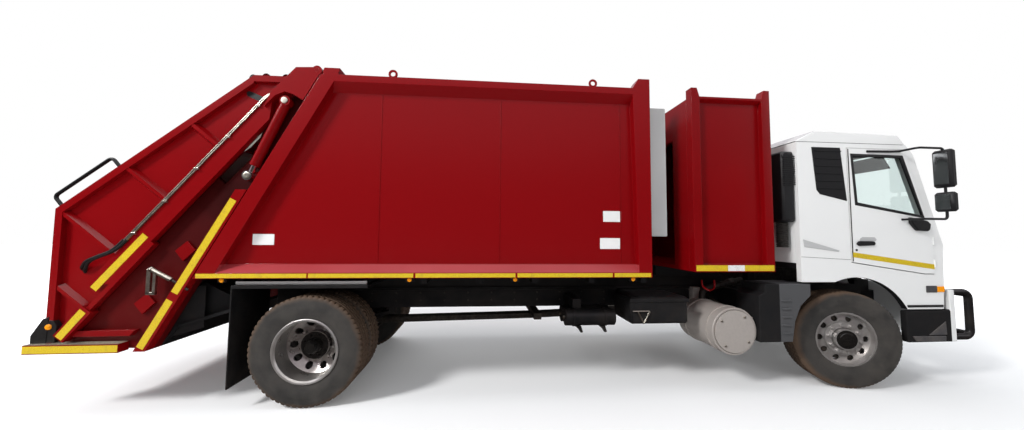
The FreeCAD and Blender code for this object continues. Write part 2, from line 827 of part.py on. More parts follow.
def tyre(x, y, z):
    half = S.tyre_width / 2
    shoulder = S.tyre_shoulder
    wall = S.tyre_radius - S.tyre_bead
    over = S.rim_flange + S.fit_gap
    points = [(S.tyre_bead, -half * 0.72), (over, -half * 0.72),
              (over, -half * 0.81), (S.tyre_bead + wall * 0.35, -half * 0.96),
              (S.tyre_bead + wall * 0.6, -half), (S.tyre_radius - shoulder * 1.6, -half),
              (S.tyre_radius, -half + shoulder), (S.tyre_radius, half - shoulder),
              (S.tyre_radius - shoulder * 1.6, half), (S.tyre_bead + wall * 0.6, half),
              (S.tyre_bead + wall * 0.35, half * 0.96), (over, half * 0.81),
              (over, half * 0.72), (S.tyre_bead, half * 0.72)]
    return turned(points, x, y, z)


def rim(x, y, z, disc, dish):
    """A steel rim: its barrel, and its disc at a distance along Y, dished towards the hub."""
    half = S.rim_width / 2
    seat = S.tyre_bead - S.fit_gap
    inner = seat - S.rim_wall
    barrel = turned([(inner, -half), (S.rim_flange, -half), (S.rim_flange, -half * 0.9),
                     (seat, -half * 0.9), (seat, half * 0.9), (S.rim_flange, half * 0.9),
                     (S.rim_flange, half), (inner, half)], x, y, z)
    plate = turned([(S.hub_radius * 0.9, disc), (S.hub_radius * 1.7, disc),
                    (inner + S.rim_wall / 2, disc + dish),
                    (inner + S.rim_wall / 2, disc + dish + S.disc_wall),
                    (S.hub_radius * 1.7, disc + S.disc_wall),
                    (S.hub_radius * 0.9, disc + S.disc_wall)], x, y, z)
    holes = []
    for number in range(HAND_HOLES):
        angle = 2 * math.pi * number / HAND_HOLES
        holes.append(bar("y", x + S.hand_hole_ring * math.cos(angle), y - half,
                         z + S.hand_hole_ring * math.sin(angle), S.hand_hole, half * 2))
    return fused(barrel, less(plate, *holes))


def steered(name, piece, y):
    """Turns a front wheel piece about its kingpin to the angle it is parked at."""
    holder = group(piece)
    holder.Placement = FreeCAD.Placement(FreeCAD.Vector(0, 0, 0),
                                         FreeCAD.Rotation(UP, STEER_ANGLE),
                                         point(S.wheelbase, y, 0))
    keep(name, holder)


def front_wheel(side):
    x = S.wheelbase
    z = S.tyre_radius
    middle = S.front_face - S.tyre_width / 2
    inner_end = S.kingpin_offset + S.knuckle_radius + S.fit_gap
    rubber = tyre(x, -middle, z)
    barrel = rim(x, -middle, z, -S.front_disc, S.front_dish)
    hub = bar("y", x, -S.front_face + S.hub_inset, z, S.hub_radius,
              S.front_face - S.hub_inset - inner_end)
    bore = bar("y", x, -S.front_face + S.hub_inset + S.spindle_radius, z,
               S.spindle_radius + S.fit_gap, S.front_face)
    wheel = less(fused(barrel, hub), bore)
    ears = [bar("z", x, -S.kingpin_offset, low, S.knuckle_radius, high)
            for low, high in ((S.knuckle_low, S.eye_low - S.fit_gap - S.knuckle_low),
                              (S.eye_high + S.fit_gap, S.knuckle_high - S.eye_high - S.fit_gap))]
    pin = bar("z", x, -S.kingpin_offset, S.knuckle_low, S.kingpin_radius,
              S.knuckle_high - S.knuckle_low)
    face = -S.kingpin_offset - S.knuckle_radius
    plate = box((x - S.knuckle_radius, x + S.knuckle_radius),
                (face, face + S.rim_wall), (S.knuckle_low, S.knuckle_high))
    arms = [box((x - S.knuckle_radius, x + S.knuckle_radius), (face, -S.kingpin_offset), spread)
            for spread in ((S.knuckle_low, S.eye_low - S.fit_gap),
                           (S.eye_high + S.fit_gap, S.knuckle_high))]
    eye_room = bar("z", x, -S.kingpin_offset, S.eye_low - S.fit_gap, S.knuckle_radius + S.fit_gap,
                   S.eye_high - S.eye_low + S.fit_gap * 2)
    spindle = bar("y", x, -S.front_face + S.hub_inset + S.spindle_radius + S.fit_gap, z,
                  S.spindle_radius,
                  S.front_face - S.hub_inset - S.spindle_radius - S.kingpin_offset
                  - S.knuckle_radius)
    knuckle = fused(pin, less(fused(plate, spindle, *(ears + arms)), eye_room))
    sign = -1
    if side == "left":
        rubber, wheel, knuckle = other_side(rubber), other_side(wheel), other_side(knuckle)
        sign = 1
    y = S.kingpin_offset * sign
    steered("tyre_front_" + side, rubber, y)
    steered("rim_front_" + side, wheel, y)
    steered("knuckle_" + side, knuckle, y)


def rear_wheel(side):
    z = S.tyre_radius
    outer = S.rear_face - S.tyre_width / 2
    inner = outer - S.tyre_width - S.twin_gap
    rubber = group(tyre(ZERO, -outer, z), tyre(ZERO, -inner, z))
    middle = (outer + inner) / 2
    outer_rim = rim(ZERO, -outer, z, outer - middle - S.disc_wall, -S.rear_dish)
    inner_rim = rim(ZERO, -inner, z, inner - middle, S.rear_dish)
    hub = bar("y", 0, -S.rear_face + S.hub_inset, z, S.hub_radius,
              S.rear_face - S.hub_inset - inner + S.tyre_width / 2)
    bore = bar("y", 0, -S.rear_face + S.hub_radius - S.fit_gap, z, S.spindle_radius + S.fit_gap,
               S.rear_face)
    relief = bar("y", 0, -inner, z, S.housing_radius + S.run_gap, S.rear_face)
    wheel = less(fused(outer_rim, inner_rim, hub), bore, relief)
    if side == "left":
        rubber, wheel = other_side(rubber), other_side(wheel)
    keep("tyres_rear_" + side, rubber)
    keep("rims_rear_" + side, wheel)


# Load body

def seam_x(z):
    """The slanted rear edge of the body at a height."""
    lean = S.seam_lean.value / S.seam_rise.value
    return -S.seam_low + (z - S.body_low) * lean


def skin_section(y_out, y_in, recess, low, rail_high, panel_low, panel_high, top_low, top):
    """The folded section of a side: rail, sloped ledge, recessed panel, ledge and rail."""
    return [(y_out, low), (y_out, rail_high), (y_out + recess, panel_low),
            (y_out + recess, panel_high), (y_out, top_low), (y_out, top),
            (y_in, top), (y_in, low)]


def cheek_y():
    """The outer face of the cheek that carries the foot of a lift cylinder."""
    return -S.tail_half - S.cheek_gap - S.cheek_thick


def body_sides():
    y_out = -S.half_width
    y_in = y_out + S.panel_depth + S.wall
    section = skin_section(y_out, y_in, S.panel_depth, S.body_low, S.rail_high, S.panel_low,
                           S.panel_high, S.top_rail_low, S.body_top)
    skin = slab(section, -S.seam_low, S.body_front, "YZ_Plane")
    gone = slab([(-S.seam_low - S.overrun, S.body_low - S.overrun),
                 (seam_x(S.body_low - S.overrun), S.body_low - S.overrun),
                 (seam_x(S.rear_peak + S.overrun), S.rear_peak + S.overrun),
                 (-S.seam_low - S.overrun, S.rear_peak + S.overrun)],
                y_out - S.overrun, y_in + S.overrun)
    post_top = S.hinge_x + S.hinge_boss + S.run_gap
    rear_post = slab([(seam_x(S.body_low), S.body_low),
                      (seam_x(S.body_low) + S.rear_post, S.body_low),
                      (seam_x(S.body_top) + S.rear_post, S.body_top),
                      (S.rear_peak_end, S.rear_peak),
                      (post_top, S.rear_peak),
                      (post_top, S.hinge_z - S.hinge_boss),
                      (seam_x(S.hinge_z - S.hinge_boss * 2), S.hinge_z - S.hinge_boss * 2)],
                     y_out, y_in)
    front_post = slab([(S.body_front - S.front_post, S.body_low), (S.body_front, S.body_low),
                       (S.body_front, S.post_peak),
                       (S.body_front - S.front_post * 0.9, S.post_peak),
                       (S.body_front - S.front_post * 1.35, S.body_top)], y_out, y_in)
    eyes = []
    for x in (S.eye_rear_x, S.eye_front_x):
        ring = bar("y", x, y_out, S.body_top + S.eye_rise, S.eye_radius, S.rim_wall)
        hole = bar("y", x, y_out - S.overrun, S.body_top + S.eye_rise, S.eye_radius / 2,
                   S.overrun * 3)
        eyes.append(less(ring, hole))
    boss_room = bar("y", S.hinge_x, y_out - S.overrun, S.hinge_z, S.hinge_boss + S.run_gap,
                    S.panel_depth + S.wall + S.overrun * 2)
    low = S.lift_low_z - S.lift_radius * 1.3
    high = S.lift_low_z + S.lift_radius * 1.3
    cheek = slab([(seam_x(low) + S.overrun, low), (-S.lift_low_x - S.lift_radius, low + S.overrun),
                  (-S.lift_low_x - S.lift_radius, high - S.overrun),
                  (seam_x(high) + S.overrun, high)], cheek_y(), cheek_y() + S.cheek_thick)
    right = fused(less(fused(skin, rear_post, front_post), gone, boss_room), cheek, *eyes)
    keep("body_side_right", right)
    keep("body_side_left", other_side(right))


def body_floor():
    y = S.half_width - S.panel_depth - S.wall
    plate = box((-S.floor_rear, S.body_front), (-y, y),
                (S.rail_high - S.floor_plate, S.rail_high))
    bearers = []
    for share in BEARER_SHARE:
        x = -S.frame_rear + (S.body_front + S.frame_rear - S.bearer_width) * share
        bearers.append(box((x, x + S.bearer_width), (-y, y),
                           (S.subframe_high, S.rail_high - S.floor_plate)))
    keep("body_floor", fused(plate, *bearers))


def body_roof():
    y = S.half_width - S.panel_depth - S.wall
    post_top = S.hinge_x + S.hinge_boss + S.run_gap
    plate = box((post_top, S.body_front), (-y, y), (S.body_top - S.roof_plate, S.body_top))
    beam = box((post_top, S.rear_peak_end), (-y, y),
               (S.top_rail_low - S.wall, S.body_top))
    lug = box((S.hinge_x - S.hinge_pin * 1.5, post_top + S.overrun),
              (-y, -y + S.wall), (S.hinge_z - S.hinge_pin * 2, S.rear_peak))
    pin = bar("y", S.hinge_x, -S.half_width, S.hinge_z, S.hinge_pin,
              S.panel_depth + S.wall + S.overrun)
    side = fused(lug, pin)
    keep("body_roof", fused(plate, beam, side, other_side(side)))


def body_front_wall():
    y = S.half_width - S.panel_depth - S.wall
    keep("body_front_wall", box((S.body_front - S.wall, S.body_front), (-y, y),
                                (S.rail_high, S.body_top - S.roof_plate)))


def oil_tank():
    x = S.body_front + S.oil_tank_gap
    y = -S.half_width + S.oil_tank_inset
    body = box((x, x + S.oil_tank_long), (y, y + S.oil_tank_wide),
               (S.oil_tank_low, S.oil_tank_high))
    feet = [box((S.body_front, x), (y + S.wall, y + S.oil_tank_wide - S.wall),
                (z - S.wall, z)) for z in (S.oil_tank_low + S.wall * 3, S.oil_tank_high - S.wall)]
    keep("oil_tank", fused(body, *feet))


def crew_box():
    y_out = -S.half_width
    y_in = y_out + S.crew_recess + S.crew_wall
    rail = S.rail_high - S.body_low
    section = skin_section(y_out, y_in, S.crew_recess, S.crew_low, S.crew_low + rail,
                           S.crew_low + rail * 1.6, S.crew_top - rail, S.crew_top - rail / 2,
                           S.crew_top)
    skin = slab(section, S.crew_rear, S.crew_front, "YZ_Plane")
    posts = []
    for x, sign in ((S.crew_rear, 1), (S.crew_front, -1)):
        posts.append(slab([(x, S.crew_low), (x + S.crew_post * sign, S.crew_low),
                           (x + S.crew_post * sign, S.crew_top),
                           (x + S.crew_post * 0.7 * sign, S.crew_peak), (x, S.crew_peak)],
                          y_out, y_in))
    side = fused(skin, *posts)
    keep("crew_sides", both_sides(side))
    y = -y_in
    front = box((S.crew_front - S.crew_wall, S.crew_front), (-y, y), (S.crew_low, S.crew_top))
    back = box((S.crew_rear, S.crew_rear + S.crew_wall), (-y, y), (S.crew_low, S.crew_top))
    doorway = box((S.crew_rear - S.overrun, S.crew_rear + S.crew_wall + S.overrun),
                  (-S.doorway_half, S.doorway_half),
                  (S.crew_low + S.crew_wall, S.doorway_high))
    keep("crew_walls", group(front, less(back, doorway)))
    inside = (S.crew_rear + S.crew_wall, S.crew_front - S.crew_wall)
    roof = box(inside, (-y, y), (S.crew_top - S.crew_wall, S.crew_top))
    floor = box(inside, (-y, y), (S.crew_low, S.crew_low + S.crew_wall))
    leg = box((S.crew_rear, S.crew_front - S.crew_wall),
              (-S.frame_half, -S.frame_half + S.subframe_width), (S.subframe_high, S.crew_low))
    keep("crew_floor_and_roof", group(fused(floor, leg, other_side(leg)), roof))


# Cab

def cab_part(outline_share, low, high):
    points = shares_of(S.cab_rear, S.cab_low, S.cab_front - S.cab_rear,
                       S.cab_high - S.cab_low, outline_share)
    return slab(points, low, high)


def door_outline(gap):
    return shares_of(S.door_rear - gap, S.door_low - gap, S.door_front - S.door_rear + gap * 2,
                     S.door_high - S.door_low + gap * 2, DOOR_OUTLINE_SHARE)


def window_outline(gap):
    return shares_of(S.window_rear - gap, S.window_low - gap,
                     S.window_front - S.window_rear + gap * 2,
                     S.window_high - S.window_low + gap * 2, WINDOW_OUTLINE_SHARE)


def cab_sides():
    y_out = -S.cab_half
    y_in = y_out + S.cab_wall
    side = cab_part(CAB_OUTLINE_SHARE, y_out, y_in)
    opening = slab(door_outline(S.shut_gap), y_out - S.overrun, y_in + S.overrun)
    arch = bar("y", S.wheelbase + S.overrun, y_out - S.overrun, S.arch_height, S.arch_radius,
               S.cab_wall + S.overrun * 2)
    panel = slab(shares_of(S.louvre_rear, S.louvre_low, S.louvre_long, S.louvre_tall,
                           LOUVRE_OUTLINE_SHARE), y_out - S.louvre_thick, y_out)
    slats = [box((S.louvre_rear + S.louvre_long * 0.1, S.louvre_rear + S.louvre_long * 0.88),
                 (y_out - S.louvre_thick * 2, y_out),
                 (S.louvre_low + S.louvre_tall * share,
                  S.louvre_low + S.louvre_tall * share + S.louvre_thick * 3))
             for share in LOUVRE_SHARE]
    keep("cab_sides", both_sides(fused(less(side, opening, arch), panel, *slats)))


def cab_shell():
    y = S.cab_half - S.cab_wall
    long_side = S.cab_front - S.cab_rear
    tall = S.cab_high - S.cab_low
    roof = cab_part(ROOF_OUTLINE_SHARE, -y, y)
    header = cab_part(HEADER_SHARE, -y, y)
    end = cab_part(ROOF_END_SHARE, -S.cab_half, -y)
    keep("cab_roof", fused(roof, header, end, other_side(end)))
    floor_top = S.cab_floor_low + S.cab_wall
    keep("cab_back_wall", box((S.cab_rear, S.cab_rear + S.cab_wall), (-y, y),
                              (floor_top, S.cab_low + tall * TOP_SHARE)))
    slats = [box((S.cab_front - S.grille_deep, S.cab_front + S.band_thick),
                 (-S.grille_half, S.grille_half),
                 (S.cab_low + tall * share, S.cab_low + tall * share + S.band_wide))
             for share in GRILLE_SHARE]
    keep("cab_front_panel", fused(cab_part(NOSE_OUTLINE_SHARE, -y, y), *slats))
    floor = box((S.cab_rear, S.cab_rear + long_side * FLOOR_FRONT_SHARE), (-y, y),
                (S.cab_floor_low, floor_top))
    pin = S.tilt_pin
    lug_y = -S.frame_half + S.subframe_width + S.run_gap
    lug = slab([(S.tilt_x - pin * 9, S.cab_floor_low), (S.tilt_x - pin * 5, S.tilt_z - pin / 2),
                (S.tilt_x - pin * 2, S.tilt_z - pin * 2), (S.tilt_x + pin * 2, S.tilt_z - pin * 2),
                (S.tilt_x + pin * 2, S.tilt_z + pin * 2.5),
                (S.tilt_x - pin * 1.5, S.tilt_z + pin * 2.5),
                (S.tilt_x - pin * 1.5, S.cab_floor_low)], lug_y, lug_y + S.cab_wall)
    hole = bar("y", S.tilt_x, lug_y - S.overrun, S.tilt_z, pin + S.fit_gap,
               S.cab_wall + S.overrun * 2)
    lug = less(lug, hole)
    keep("cab_floor", fused(floor, lug, other_side(lug)))
    keep("windshield", cab_part(SCREEN_OUTLINE_SHARE, -y, y))


def cab_inside():
    floor_top = S.cab_floor_low + S.cab_wall
    y = S.cab_half - S.cab_wall - S.run_gap
    dash = slab(shares_of(S.dash_rear, floor_top, S.dash_long, S.dash_high - floor_top,
                          DASH_SHARE), -y, y)
    ring = turned([(S.wheel_ring - S.wheel_grip, ZERO), (S.wheel_ring, -S.wheel_grip),
                   (S.wheel_ring + S.wheel_grip, ZERO), (S.wheel_ring, S.wheel_grip)],
                  S.wheel_x, -S.driver_y, S.wheel_z)
    axis = FreeCAD.Vector(math.sin(math.radians(WHEEL_TILT)), 0, math.cos(math.radians(WHEEL_TILT)))
    ring.Placement = FreeCAD.Placement(point(S.wheel_x, -S.driver_y, S.wheel_z),
                                       FreeCAD.Rotation(FreeCAD.Vector(0, 1, 0), axis))
    hub_start = (S.wheel_x, -S.driver_y, S.wheel_z)
    column = rod(hub_start, (S.dash_rear + S.dash_long * 0.2, -S.driver_y,
                             S.dash_high - S.wheel_ring), S.wheel_grip * 1.5)
    spokes = [rod((S.wheel_x, -S.driver_y - S.wheel_ring, S.wheel_z),
                  (S.wheel_x, -S.driver_y + S.wheel_ring, S.wheel_z), S.wheel_grip * 0.8)]
    keep("dashboard", fused(dash, ring, column, *spokes))
    seats = []
    for sign in (-1, 1):
        middle = S.driver_y * sign
        seat = slab(shares_of(S.seat_rear, floor_top, S.seat_long, S.seat_tall, SEAT_SHARE),
                    middle - S.seat_half, middle + S.seat_half)
        seats.append(blunted(seat, S.corner_cut))
    keep("seats", group(*seats))


def air_intake():
    duct = soft_box((S.cab_rear - S.intake_deep, S.cab_rear),
                    (-S.cab_half + S.cab_wall / 2, -S.cab_half + S.intake_wide),
                    (S.intake_low, S.intake_high), S.corner_cut)
    keep("air_intake", duct)


def doors():
    y_out = -S.cab_half - S.door_proud
    y_in = -S.cab_half + S.cab_wall
    panel = slab(door_outline(ZERO), y_out, y_in)
    hole = slab(window_outline(ZERO), y_out - S.overrun, y_in + S.overrun)
    knuckles = [bar("z", S.door_front + S.door_hinge / 3, y_out,
                    S.door_low + (S.door_high - S.door_low) * share, S.door_hinge,
                    S.door_hinge * 10) for share in DOOR_HINGE_SHARE]
    right = fused(less(panel, hole), *knuckles)
    keep("door_right", right)
    keep("door_left", other_side(right))
    pane = slab(window_outline(ZERO), y_out + S.door_proud * 2,
                y_out + S.door_proud * 2 + S.glass_thick)
    keep("door_glass_right", pane)
    keep("door_glass_left", other_side(pane))
    post_x = S.mirror_x + S.mirror_deep / 2
    post_y = -S.mirror_outer + S.mirror_wide / 2
    upper = pipe([(S.mirror_arm_x, y_out, S.mirror_arm_high + S.overrun),
                  (S.mirror_arm_x, post_y, S.mirror_arm_high + S.overrun),
                  (post_x, post_y, S.mirror_arm_high + S.overrun),
                  (post_x, post_y, S.mirror_arm_low), (S.mirror_arm_x, post_y, S.mirror_arm_low),
                  (S.mirror_arm_x, y_out, S.mirror_arm_low)],
                 S.mirror_tube, S.mirror_tube * 3)
    heads = [soft_box((S.mirror_x, S.mirror_x + S.mirror_deep),
                      (-S.mirror_outer, -S.mirror_outer + S.mirror_wide), spread, S.corner_cut)
             for spread in ((S.mirror_low, S.mirror_high), (S.spot_low, S.spot_high))]
    right = fused(upper, *heads)
    keep("mirror_right", right)
    keep("mirror_left", other_side(right))


# Tailgate

def behind_seam(z):
    return seam_x(z) - S.run_gap


def tailgate_sides():
    y_out = -S.tail_half
    y_in = y_out + S.tail_wall
    rear = -S.tail_rear
    plate = slab([(behind_seam(S.tail_low), S.tail_low), (rear, S.tail_low + S.overrun),
                  (rear, S.slope_low), (-S.roof_rear, S.tail_top),
                  (behind_seam(S.arm_low) + S.overrun, S.tail_top),
                  (behind_seam(S.tail_top - S.overrun), S.tail_top - S.overrun)], y_out, y_in)
    window = slab([(-S.slot_x, S.slot_z), (-S.slot_x - S.slot_long, S.slot_z - S.slot_tall),
                   (-S.slot_x - S.slot_long * 0.75, S.slot_z - S.slot_tall * 1.2),
                   (-S.slot_x + S.slot_long * 0.2, S.slot_z - S.slot_tall * 0.3)],
                  y_out - S.overrun, y_in + S.overrun)
    rim_y = y_out - S.rim_proud
    rim = S.edge_rim
    rear_rim = box((rear, rear + rim), (rim_y, y_out), (S.tail_step_high, S.slope_low))
    slope_rim = slab([(rear, S.slope_low), (-S.roof_rear, S.tail_top),
                      (-S.roof_rear, S.tail_top - rim * 1.3), (rear, S.slope_low - rim * 1.3)],
                     rim_y, y_out)
    roof_rim = slab([(-S.roof_rear, S.tail_top), (-S.arm_rear_x, S.tail_top),
                     (-S.arm_rear_x, S.tail_top - rim), (-S.roof_rear, S.tail_top - rim)],
                    rim_y, y_out)
    seam_bar = slab([(behind_seam(S.tail_low), S.tail_low),
                     (behind_seam(S.seam_bar_high), S.seam_bar_high),
                     (behind_seam(S.seam_bar_high) - S.seam_bar, S.seam_bar_high),
                     (behind_seam(S.tail_low) - S.seam_bar, S.tail_low)],
                    -S.half_width, y_out)
    guide = slab([(-S.guide_top_x, S.guide_top_z),
                  (-S.guide_top_x - S.guide_run, S.guide_top_z - S.guide_run * GUIDE_SLOPE),
                  (-S.guide_top_x - S.guide_run + S.guide_wide,
                   S.guide_top_z - S.guide_run * GUIDE_SLOPE),
                  (-S.guide_top_x + S.guide_wide * GUIDE_CORNER_SHARE[0],
                   S.guide_top_z - S.guide_wide * GUIDE_CORNER_SHARE[1])],
                 -S.half_width + S.guide_inset, y_out)
    arm = slab([(-S.guide_top_x, S.guide_top_z), (-S.arm_rear_x, S.rear_peak - S.overrun / 2),
                (S.hinge_x, S.rear_peak), (S.hinge_x + S.hinge_boss * 0.7,
                                           S.hinge_z - S.hinge_boss * 0.7),
                (behind_seam(S.tail_top - S.overrun), S.tail_top - S.overrun),
                (behind_seam(S.arm_low), S.arm_low),
                (-S.lift_top_x + S.lift_radius * 1.5, S.lift_top_z + S.lift_radius * 1.5),
                (-S.lift_top_x, S.lift_top_z + S.lift_radius * 1.9),
                (-S.lift_top_x - S.lift_radius * 1.9, S.lift_top_z + S.lift_radius),
                (-S.guide_top_x - S.guide_wide * 0.3, S.lift_top_z - S.lift_radius * 1.5)],
               -S.half_width, y_out)
    boss = bar("y", S.hinge_x, -S.half_width, S.hinge_z, S.hinge_boss, S.half_width - S.tail_half)
    hole = bar("y", S.hinge_x, -S.half_width - S.overrun, S.hinge_z, S.hinge_pin + S.fit_gap,
               S.half_width - S.tail_half + S.tail_wall)
    lift_pin = bar("y", -S.lift_top_x, -S.half_width + S.shut_gap, S.lift_top_z, S.lift_pin,
                   S.half_width - S.tail_half)
    rails = []
    for sign in (-1, 1):
        rails.append(along_guide(-S.packer_travel - S.guide_end, S.carriage_long - S.guide_rail,
                                 (S.arm_half + S.fit_gap) * sign,
                                 (S.arm_half + S.fit_gap + S.guide_rail) * sign,
                                 y_in, y_in + S.guide_rail))
    ribs = []
    for along, start, end in RIB_SHARE:
        x, z = guide_point(S.guide_run * along, S.guide_run * start)
        section = [(y_out - S.rim_proud * 0.9, -rim / 4), (y_out - S.rim_proud * 0.9, rim / 4),
                   (y_out + S.tail_wall / 2, rim), (y_out + S.tail_wall / 2, -rim)]
        rib = slab(section, ZERO, S.guide_run * (end - start), "YZ_Plane")
        ribs.append(place(rib, x, 0, z, ACROSS_GUIDE))
    low_bar = along_guide(-S.guide_run * 1.09, -S.guide_run * 0.36, S.guide_run * 0.2,
                          S.guide_run * 0.225, -S.half_width + S.guide_inset, y_out)
    tape_bar = along_guide(-S.guide_run * 1.09, -S.guide_run * 0.87, S.guide_run * 0.18,
                           S.guide_run * 0.245, -S.half_width + S.guide_inset / 2, y_out)
    right = less(fused(less(plate, window), rear_rim, slope_rim, roof_rim, seam_bar, guide,
                       arm, boss, lift_pin, low_bar, tape_bar, *(rails + ribs)), hole)
    keep("tailgate_side_right", right)
    keep("tailgate_side_left", other_side(right))


def guide_point(along, across):
    """A place in the packer's own directions: along its guide, and forward-down of it."""
    x = -S.pivot_x + along * GUIDE_COS - across * (-GUIDE_SIN)
    z = S.pivot_z + along * GUIDE_SIN - across * GUIDE_COS
    return x, z


def along_guide(start, end, low, high, y_low, y_high):
    points = [guide_point(start, low), guide_point(end, low), guide_point(end, high),
              guide_point(start, high)]
    return slab(points, y_low, y_high)


def tailgate_roof():
    y = S.tail_half - S.tail_wall
    front = -S.hinge_boss
    points = [(front, S.tail_top), (-S.roof_rear, S.tail_top), (-S.tail_rear, S.slope_low),
              (-S.tail_rear, S.slope_low - S.roof_plate * 1.3),
              (-S.roof_rear - S.roof_plate * 0.3, S.tail_top - S.roof_plate),
              (front, S.tail_top - S.roof_plate)]
    keep("tailgate_roof", slab(points, -y, y))


def hopper():
    y = S.tail_half - S.tail_wall
    low_x, low_z = guide_point(-S.packer_travel, ZERO)
    inner = S.blade_reach + S.blade_gap
    outer = inner + S.hopper_plate
    drum = less(bar("y", low_x, -y, low_z, outer, y * 2),
                bar("y", low_x, -y - S.overrun, low_z, inner, (y + S.overrun) * 2))
    end_x, end_z = guide_point(-S.packer_travel, inner * 1.2)
    keep_zone = slab([(low_x, low_z), (end_x, end_z), (end_x, S.tail_low),
                      (-S.tail_rear, S.tail_low), (-S.tail_rear, low_z - inner * 0.7)],
                     -y, y)
    trough = common(drum, keep_zone)
    ramp = along_guide(-S.packer_travel, -S.packer_travel + S.ramp_long, inner, outer, -y, y)
    sill = slab([(-S.tail_rear, S.tail_low + S.overrun), (-S.tail_rear, S.sill_high),
                 (-S.tail_rear + S.sill_deep, S.sill_high - S.sill_deep * 0.6),
                 (-S.tail_rear + S.sill_deep, S.tail_low + S.overrun)], -y, y)
    chute = slab([(behind_seam(S.tail_low), S.tail_low), (-S.chute_mid_x, S.chute_mid_z),
                  (-S.chute_tip_x, S.chute_tip_z), (-S.chute_tip_x, S.chute_tip_z + S.hopper_plate),
                  (-S.chute_mid_x, S.chute_mid_z + S.hopper_plate),
                  (behind_seam(S.tail_low) - S.hopper_plate, S.tail_low)], -y, y)
    gusset = slab([(-S.chute_mid_x, S.chute_mid_z), (-S.chute_tip_x, S.chute_tip_z),
                   (-S.chute_tip_x, S.chute_tip_z + S.gusset_rise),
                   (-S.gusset_top_x, S.gusset_top_z),
                   guide_point(-S.packer_travel + S.ramp_long / 2, outer - S.hopper_plate / 2),
                   guide_point(-S.packer_travel, outer - S.hopper_plate / 2)],
                  -S.chute_half, -S.chute_half + S.hopper_plate * 2)
    keep("hopper", fused(trough, ramp, sill, chute, gusset, other_side(gusset)))


def tail_steps():
    step = box((-S.rear_reach, -S.step_front), (-S.half_width, -S.tail_half),
               (S.tail_step_low, S.tail_step_high))
    keep("tail_steps", both_sides(step))


def grab_rails():
    run_x = (S.tail_rear - S.roof_rear).value
    run_z = (S.tail_top - S.slope_low).value
    length = math.hypot(run_x, run_z)
    normal_x = -run_z / length
    normal_z = run_x / length
    y = -S.tail_half - S.rim_proud / 2
    ends = []
    for share in GRAB_SHARE:
        x = -S.tail_rear + (S.tail_rear - S.roof_rear) * share
        z = S.slope_low + (S.tail_top - S.slope_low) * share
        ends.append((x, z))
    near, far = ends
    points = [(near[0] + S.fit_gap * normal_x, y, near[1] + S.fit_gap * normal_z),
              (near[0] + S.grab_high * normal_x, y, near[1] + S.grab_high * normal_z),
              (far[0] + S.grab_high * normal_x, y, far[1] + S.grab_high * normal_z),
              (far[0] + S.fit_gap * normal_x, y, far[1] + S.fit_gap * normal_z)]
    keep("grab_rails", both_sides(pipe(points, S.grab_tube, S.grab_tube * 2.5)))


def tail_lamps():
    lamp = box((-S.tail_rear - S.overrun, -S.tail_rear), (-S.tail_half + S.cab_wall, -S.frame_half * 2),
               (S.tail_step_high, S.tail_step_high + S.frame_flange * 2))
    keep("tail_lamps", both_sides(lamp))


# Lift cylinders and packer

def lift_cylinders():
    y_low = -S.half_width + S.shut_gap
    y_high = -S.tail_half - S.shut_gap
    y = (y_low + y_high) / 2
    top = (-S.lift_top_x, y, S.lift_top_z)
    run_x = (S.lift_top_x - S.lift_low_x).value
    run_z = (S.lift_low_z - S.lift_top_z).value
    length = math.hypot(run_x, run_z)
    step_x = run_x / length
    step_z = run_z / length

    def spot(distance):
        return (top[0] + distance * step_x, y, top[2] + distance * step_z)

    whole = S.lift_closed
    tube = rod(spot(S.lift_radius * 0.8), spot(S.lift_barrel), S.lift_radius)
    eye = bar("y", top[0], y_low, top[2], S.lift_radius * 1.1, y_high - y_low)
    pin_hole = bar("y", top[0], y_low - S.overrun, top[2], S.lift_pin + S.fit_gap,
                   y_high - y_low + S.overrun * 2)
    bore = rod(spot(S.lift_radius * 2), spot(S.lift_barrel + S.overrun), S.lift_rod + S.fit_gap)
    barrel = less(fused(tube, eye), pin_hole, bore)
    keep("lift_barrels", both_sides(barrel))
    shaft = rod(spot(S.lift_radius * 2.2), spot(whole), S.lift_rod)
    foot = bar("y", -S.lift_low_x, y_low, S.lift_low_z, S.lift_radius,
               cheek_y() - S.fit_gap - y_low)
    piston = fused(shaft, foot)
    keep("lift_rods", both_sides(piston))


